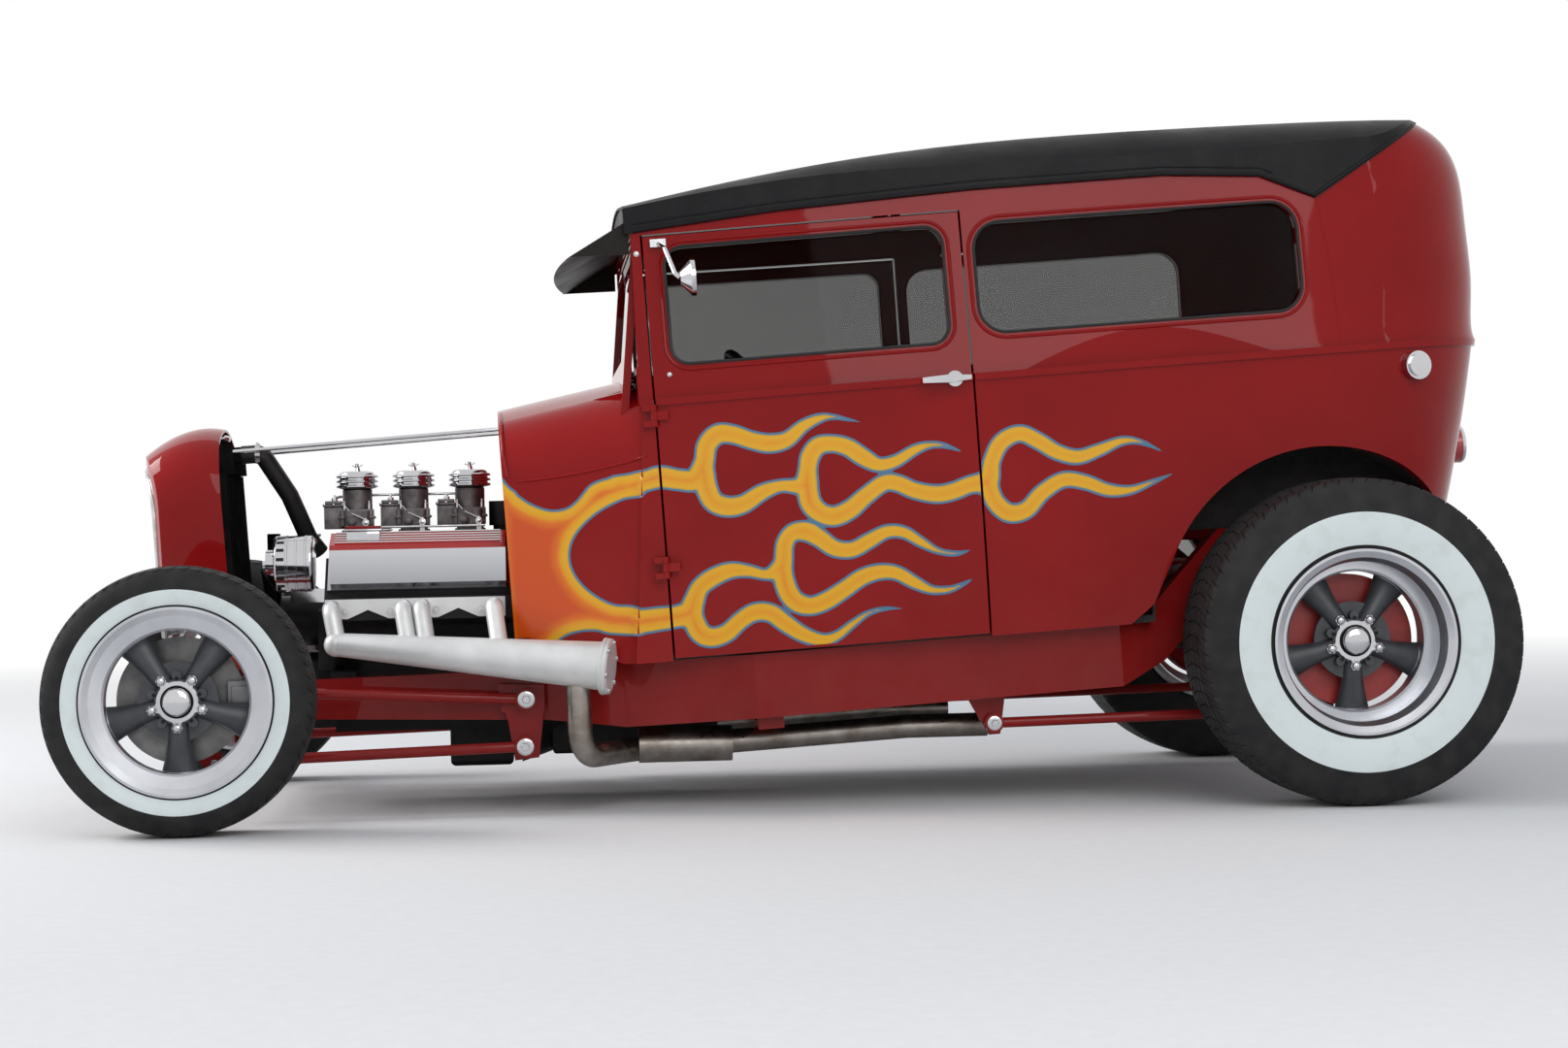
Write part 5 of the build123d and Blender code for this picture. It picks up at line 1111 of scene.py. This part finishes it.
def build_alternator_trim(name):
    """The alternator's joint bands, vents, pulley nut and bolts."""
    heap = Heap()
    front = facing(at_level(ALTERNATOR_FACE, *ALTERNATOR), (-1, 0, 0))
    for along, reach in ((-0.030, 0.0684), (-0.052, 0.0680), (-0.074, 0.0684)):
        heap.lathe([(along - 0.003, reach - 0.0016), (along - 0.002, reach), (along + 0.002, reach),
                    (along + 0.003, reach - 0.0016)], front, 0, 64)
    for k in range(VENTS):
        turn = front @ Matrix.Rotation(tau * k / VENTS, 4, "Z")
        heap.prism([(-0.003, -0.011), (0.003, -0.011), (0.0045, 0.011), (-0.0045, 0.011)],
                   turn @ Matrix.Translation((0, 0.044, 0.0)), 0.0004, 1)
        around = turn @ Matrix.Translation((0, 0.0668, -0.016)) @ Matrix.Rotation(-pi / 2, 4, "X")
        heap.prism([(-0.004, -0.009), (0.004, -0.009), (0.004, 0.009), (-0.004, 0.009)], around, 0.0006, 1)
    for x, y in round_places(3, 0.058, 0.4):
        bolt(heap, front @ Vector((x, y, -0.001)), (-1, 0, 0), 0.004)
    bolt(heap, at_level(PULLEY_NUT, *ALTERNATOR), (-1, 0, 0), 0.010)
    obj = heap.make(name, [material("chrome"), material("engine_black")])


# The right half of the grille's outline as (y, z) of the body frame, and the circle of its bowed face: the x of its
# middle and its radius, in millimetres
GRILLE_HALF = [(181, 456), (184, 520), (188, 610), (192, 700), (187, 735), (180, 760), (158, 789), (134, 805),
               (90, 818), (45, 826), (0, 828)]
GRILLE_X, GRILLE_R = 583.0, 680.0
# The place and direction of the radiator hose's two clamps
CLAMPS = (((126, -110, 853.0), (1, 0, 0)), ((241, -14, 640), (0.52, 0.28, -0.8)))


def build_front_trim(name):
    """Stainless bead round the grille, radiator cap and hose clamps."""
    heap = Heap()
    outline = GRILLE_HALF + [(-y, z) for y, z in reversed(GRILLE_HALF[:-1])]
    bead = [at_body(GRILLE_X - sqrt(GRILLE_R ** 2 - y * y), y, z) for y, z in smooth_line(outline, 14)]
    heap.tube(bead, 0.0065, 1, 10)
    heap.lathe([(0, 0.0255), (0.004, 0.0275), (0.010, 0.0275), (0.014, 0.024), (0.0165, 0.014), (0.017, 0.001)],
               Matrix.Translation(at_body(76, 0, 884)), 0, 32)
    for place, way in CLAMPS:
        at = facing(at_level(*place), way)
        heap.lathe([(-0.006, 0.0222), (-0.0058, 0.0236), (0.0058, 0.0236), (0.006, 0.0222)], at, 1, 40)
        screw = at @ Matrix.Translation((0, 0.0245, 0)) @ Matrix.Rotation(pi / 2, 4, "Y")
        heap.lathe([(-0.009, 0.0035), (0.009, 0.0035), (0.0095, 0.0048), (0.012, 0.0048)], screw, 1, 16)
    obj = heap.make(name, [material("chrome"), material("bright_steel")])


# Chassis trim, in the level frame

# The bolts of the rods on the right: x, y and z in millimetres, radius in metres
ROD_BOLTS = ((758, 446, 265, 0.0105), (754, 446, 155, 0.0105), (49, 446, 300, 0.009), (45, 446, 137, 0.009),
             (1838, 526, 187, 0.009), (2595, 526, 200, 0.010))
# The blocks of the right caliper: x, y and z from and to, in millimetres
CALIPER = ((103, 163, 693, 705, 256, 338), (146, 163, 661, 706, 250, 344), (95, 163.5, 646, 664, 250.4, 343.6),
           (112, 154, 704, 709, 268, 326))


def build_chassis_trim(name):
    """Bolts and washers where the rods meet the frame and the axles."""
    heap = Heap()
    for side in (-1, 1):
        way = (0, side, 0)
        for x, y, z, r in ROD_BOLTS:
            place = at_level(x, side * y, z)
            heap.lathe([(-SUNK, r * 1.9), (0.003, r * 1.85), (0.0036, r * 1.7)], facing(place, way), 0, 32)
            bolt(heap, place + Vector((0, side * 0.0034, 0)), way, r)
    obj = heap.make(name, [material("chrome")])


def build_caliper(name, side_name):
    """The grey caliper over the front disc."""
    side = SIDES[side_name]
    heap = Heap()
    for x0, x1, y0, y1, z0, z1 in CALIPER:
        heap.box(x0, x1, *sorted((side * y0, side * y1)), z0, z1)
    for z in (276, 318):
        piston = facing(at_level(130, side * 646, z), (0, -side, 0))
        heap.lathe([(0, 0.016), (0.010, 0.016), (0.012, 0.013)], piston, 0, 28)
    obj = heap.make(name, [material("caliper_silver")], f"knuckle_{side_name}")
    bevelled(obj, 0.006)


# Small parts of the body, in the body frame

# Lines on the body's side as (x, z): the seam of the rear quarter, the cowl's crease and the rib behind the hood line
SEAM = ((2676, 1228), (2690, 1120), (2698, 1010), (2702, 902))
CREASE = ((792, 724), (852, 725.5), (942, 732), (1033, 745), (1090, 757))
RIB = ((765, 905), (765, 785), (769, 735))
# The middle of the right tail lamp's face, and of the three dials in the dashboard: x, the places in y, and z
TAIL_LAMP, DIALS = (3082, 270, 640), (1118, (-420.0, -330.0, -240.0), 868)
# Where the studs of the cowl and of the doors stand, as (x, z), and their radius in metres
COWL_STUD, DOOR_STUD = ((1104, 1220), 0.0065), ((1157, 938), 0.0055)


def along_x(x, y, z):
    """A matrix at a place whose Z axis points to the rear along the body."""
    return facing(at_body(x, y, z), at_body(x + 1000, y, z) - at_body(x, y, z))


def add_side_tube(heap, node, line, step, side, lift, radius, sides):
    """A round line in the body's paint, laid along the body's side."""
    heap.tube(side_line(surface_tree(node), smooth_line(line, step), side, lift), radius, 2, sides)


def add_side_stud(heap, node, spot, side):
    """A stud on the body's side."""
    (x, z), r = spot
    stud(heap, on_side(surface_tree(node), at_body(x, 0, z), side, 0.0), (0, side, 0), r)


def build_details(name):
    """Lamp rings, gauges, the seams of the rear quarters, and the studs, creases and ribs of the cowl."""
    heap = Heap()
    for side_name, side in SIDES.items():
        heap.lathe([(0.0, 0.0385), (0.004, 0.0405), (0.004, 0.044), (0.0, 0.0462), (-0.004, 0.0464)],
                   along_x(TAIL_LAMP[0], side * TAIL_LAMP[1], TAIL_LAMP[2]), 0, 48)
        add_side_tube(heap, f"quarter_{side_name}", SEAM, 20, side, -0.0009, 0.0024, 8)
    x, places, z = DIALS
    for y in places:
        dial = along_x(x, y, z)
        heap.lathe([(0.0, 0.036), (0.003, 0.036), (0.003, 0.031), (0.0015, 0.030)], dial, 0, 40)
        heap.lathe([(0.0, 0.0302), (0.0012, 0.0302)], dial, 1, 40)
    for side in (-1, 1):
        add_side_stud(heap, "cowl", COWL_STUD, side)
        add_side_tube(heap, "cowl", CREASE, 15, side, -0.0006, 0.0036, 10)
        add_side_tube(heap, "cowl", RIB, 15, side, -0.0006, 0.0055, 10)
    obj = heap.make(name, [material("chrome"), material("dial_cream"), material("body_red")])


def build_door_stud(name, side_name):
    """The small polished stud under the front corner of a door's window."""
    node = f"door_{side_name}"
    heap = Heap()
    add_side_stud(heap, node, DOOR_STUD, SIDES[side_name])
    obj = heap.make(name, [material("chrome")], node)


# Seats, in the body frame

# Each pad: its middle and half sizes in millimetres, its channels and its lean in degrees
PADS = {
    "front_cushion": ((1732, 0, 474), (250, 508, 72), 10, 0.0),
    "front_back": ((2008, 0, 748), (54, 508, 206), 1, 15.0),
    "rear_cushion": ((2505, 0, 560), (192, 368, 72), 8, 0.0),
    "rear_back": ((2790, 0, 712), (52, 368, 222), 1, 11.5),
}
# How square a pad is, how high its crown, and the depth and width of its sewn lines in millimetres
SQUARE, CROWN, SEAM_DEPTH, SEAM_WIDTH = 6.0, 0.14, 9.0, 9.0


def pillow_point(u, v, w, half, channels):
    """A point of a puffed box: u, v and w run from -1 to 1; the channels between sewn lines run fore and aft."""
    size = (abs(u) ** SQUARE + abs(v) ** SQUARE + abs(w) ** SQUARE) ** (1 / SQUARE)
    x, y, z = u / size, v / size, w / size
    up = max(z, 0.0)
    crown = CROWN * (1 - x * x) * (1 - y * y) * up
    place = (y + 1) / 2 * channels
    gap = abs(place - round(place)) / channels * 2 * half[1]
    seam = SEAM_DEPTH * np.exp(-(gap / SEAM_WIDTH) ** 2) * up * (1 - abs(x) ** 8)
    return Vector((half[0] * x, half[1] * y * (1 + 0.012 * (1 - z * z)), half[2] * (z + crown) - seam))


def build_pillow(name, centre, half, channels, tilt):
    """One sewn seat pad: crowned, with fore-and-aft channels and piping round its upper edge."""
    lean = Matrix.Rotation(radians(tilt), 4, "Y")
    verts, faces, known = [], [], {}

    def place(u, v, w):
        return at_body(*(Vector(centre) + lean @ pillow_point(u, v, w, half, channels)))

    def vertex(u, v, w):
        key = (round(u, 4), round(v, 4), round(w, 4))
        if key not in known:
            known[key] = len(verts)
            verts.append(place(u, v, w))
        return known[key]

    def sheet(fixed, at, na, nb, flip):
        for i in range(na):
            for j in range(nb):
                quad = []
                for a, b in ((i, j), (i + 1, j), (i + 1, j + 1), (i, j + 1)):
                    p = [2 * a / na - 1, 2 * b / nb - 1]
                    p.insert(fixed, at)
                    quad.append(vertex(*p))
                faces.append(tuple(reversed(quad)) if flip else tuple(quad))

    nu, nv, nw = 22, channels * 12, 8
    for fixed, na, nb, flip in ((2, nu, nv, False), (0, nv, nw, False), (1, nu, nw, True)):
        sheet(fixed, 1.0, na, nb, flip)
        sheet(fixed, -1.0, na, nb, not flip)
    heap = Heap()
    heap.add(verts, faces)
    short, long = np.linspace(-1, 1, 16)[:-1], np.linspace(-1, 1, 40)[:-1]
    ring = [(a, 1.0) for a in short] + [(1.0, -a) for a in long]
    ring += [(-a, -b) for a, b in ring]
    heap.tube([place(a, b, 0.80) for a, b in ring], 0.0042, 1, 8, True)
    obj = heap.make(name, [material("seat_leather"), material("piping_cream")])
    return obj


def build_seats():
    """The front bench on its riser and the short rear bench, each a pad and a leaning back."""
    pads = {name: build_pillow(name, *shape) for name, shape in PADS.items()}
    heap = Heap()
    heap.box(1522, 1958, -478, 478, 302, 404, 0, at_body)
    riser = heap.make("seat_riser", [material("cabin_grey")])
    bevelled(riser, 0.006)
    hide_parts("front_seat")
    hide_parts("rear_seat")


# Operators

def colour_setting(name, description, default):
    """A colour that the panel shows."""
    return bpy.props.FloatVectorProperty(name=name, description=description, subtype="COLOR", min=0.0, max=1.0,
                                         default=default)


class RodSettings(bpy.types.PropertyGroup):
    """Sizes and colours that the builders read."""

    flame_step: bpy.props.FloatProperty(name="Flame step", description="Grid step of the flames in millimetres",
                                        default=4.0, min=2.0, max=12.0)
    tread_depth: bpy.props.FloatProperty(name="Tread depth", description="Depth of the tyres' grooves in millimetres",
                                         default=6.0, min=1.0, max=8.0)
    sky_light: bpy.props.FloatProperty(name="Sky light", description="Light that the sky gives", default=0.62,
                                       min=0.0, max=2.0)
    floor_size: bpy.props.FloatProperty(name="Floor size", description="Width of the floor", default=60.0,
                                        unit="LENGTH")
    paint: colour_setting("Paint", "Gloss paint of the body", (0.28, 0.005, 0.006))
    deep_paint: colour_setting("Deep paint", "The deepest colour that the paint drifts to", (0.23, 0.004, 0.005))
    cover: colour_setting("Roof cover", "Vinyl of the padded roof cover", (0.006, 0.006, 0.007))
    white_wall: colour_setting("White wall", "White band of the tyres", (0.69, 0.75, 0.74))
    flame_edge: colour_setting("Flame line", "Thin line round the flames", (0.07, 0.17, 0.29))
    flame_body: colour_setting("Flame body", "Main colour of the flames", (0.78, 0.41, 0.012))
    flame_core: colour_setting("Flame core", "Deepest colour of the flames", (0.64, 0.08, 0.008))


class ROD_OT_stage(bpy.types.Operator):
    """Build the camera, the lights, the sky and the floor."""

    bl_idname = "rod.stage"
    bl_label = "Build stage"

    def execute(self, context):
        settings = context.scene.rod
        make_camera()
        make_world(settings.sky_light)
        make_floor(settings.floor_size)
        for lamp in LAMPS:
            add_lamp(*lamp)
        context.scene.view_settings.view_transform = "Standard"
        return {"FINISHED"}


class ROD_OT_materials(bpy.types.Operator):
    """Give every CAD node its material."""

    bl_idname = "rod.materials"
    bl_label = "Dress the frame"

    def execute(self, context):
        for name, nodes in DRESS.items():
            for node in nodes:
                dress(node, material(name))
        for axle_name, axle in AXLES.items():
            for side in SIDES:
                wheel = f"wheel_{axle_name}_{side}"
                dress(wheel, wheel_metal(wheel, axle))
        return {"FINISHED"}


class ROD_OT_tyres(bpy.types.Operator):
    """Build the four tyres with tread and white walls."""

    bl_idname = "rod.tyres"
    bl_label = "Build tyres"

    def execute(self, context):
        for axle_name, axle in AXLES.items():
            for side in SIDES:
                build_tyre(f"whitewall_{axle_name}_{side}", f"tyre_{axle_name}_{side}", axle, side,
                           f"wheel_{axle_name}_{side}", context.scene.rod.tread_depth)
        return {"FINISHED"}


class ROD_OT_wheel_trim(bpy.types.Operator):
    """Build the caps and lug nuts."""

    bl_idname = "rod.wheel_trim"
    bl_label = "Build wheel trim"

    def execute(self, context):
        for axle_name, axle in AXLES.items():
            for side in SIDES:
                build_wheel_trim(f"cap_{axle_name}_{side}", axle, side, f"wheel_{axle_name}_{side}")
        return {"FINISHED"}


class ROD_OT_flames(bpy.types.Operator):
    """Lay the flames on the cowl, the doors and the quarter panels."""

    bl_idname = "rod.flames"
    bl_label = "Paint flames"

    def execute(self, context):
        for side_name, side in SIDES.items():
            for panel, x0, x1 in FLAMED:
                node = panel if panel == "cowl" else f"{panel}_{side_name}"
                flame_sheet(f"flames_{panel}_{side_name}", surface_tree(node), side,
                            node if panel == "door" else "body", x0, x1, context.scene.rod.flame_step)
        return {"FINISHED"}


class ROD_OT_body_trim(bpy.types.Operator):
    """Build the window beads and the roof cover's piping."""

    bl_idname = "rod.body_trim"
    bl_label = "Build body trim"

    def execute(self, context):
        for panel in WINDOWS:
            for side in SIDES:
                build_window_trim(f"{panel}_window_bead_{side}", panel, side)
        build_roof_trim("roof_piping")
        return {"FINISHED"}


class ROD_OT_engine_trim(bpy.types.Operator):
    """Build the air cleaners and the small parts of the engine."""

    bl_idname = "rod.engine_trim"
    bl_label = "Build engine trim"

    def execute(self, context):
        build_air_cleaners("finned_cleaners")
        build_carb_castings("carburettor_trim_castings")
        build_carb_trim("carburettor_trim")
        build_breather("cover_breathers")
        build_header_trim("header_bolts")
        build_alternator_trim("alternator_trim")
        build_front_trim("front_trim")
        return {"FINISHED"}


class ROD_OT_chassis_trim(bpy.types.Operator):
    """Build the frame's bolts and the front calipers."""

    bl_idname = "rod.chassis_trim"
    bl_label = "Build chassis trim"

    def execute(self, context):
        build_chassis_trim("rod_bolts")
        for side in SIDES:
            build_caliper(f"caliper_{side}", side)
        return {"FINISHED"}


class ROD_OT_cabin(bpy.types.Operator):
    """Build the seats, the dials and the small parts of the body."""

    bl_idname = "rod.cabin"
    bl_label = "Build cabin"

    def execute(self, context):
        build_seats()
        build_details("body_details")
        for side in SIDES:
            build_door_stud(f"door_stud_{side}", side)
        return {"FINISHED"}


class ROD_PT_panel(bpy.types.Panel):
    """The builders, in the order that main() runs them."""

    bl_label = "Hot rod"
    bl_idname = "ROD_PT_panel"
    bl_space_type = "VIEW_3D"
    bl_region_type = "UI"
    bl_category = "Hot rod"

    def draw(self, context):
        for prop in RodSettings.__annotations__:
            self.layout.prop(context.scene.rod, prop)
        for operator in OPERATORS:
            self.layout.operator(operator.bl_idname)


OPERATORS = (ROD_OT_stage, ROD_OT_materials, ROD_OT_tyres, ROD_OT_wheel_trim, ROD_OT_flames, ROD_OT_body_trim,
             ROD_OT_engine_trim, ROD_OT_chassis_trim, ROD_OT_cabin)
CLASSES = (RodSettings,) + OPERATORS + (ROD_PT_panel,)


def register():
    """Add the classes and the scene's settings."""
    for cls in CLASSES:
        bpy.utils.register_class(cls)
    bpy.types.Scene.rod = bpy.props.PointerProperty(type=RodSettings)


def unregister():
    """Take the classes and the settings away again."""
    del bpy.types.Scene.rod
    for cls in reversed(CLASSES):
        bpy.utils.unregister_class(cls)


def main():
    """Build all pieces in order."""
    register()
    for operator in OPERATORS:
        group, name = operator.bl_idname.split(".")
        if getattr(getattr(bpy.ops, group), name)() != {"FINISHED"}:
            raise RuntimeError(f"{operator.bl_idname} did not finish")


if __name__ == "__main__":
    main()
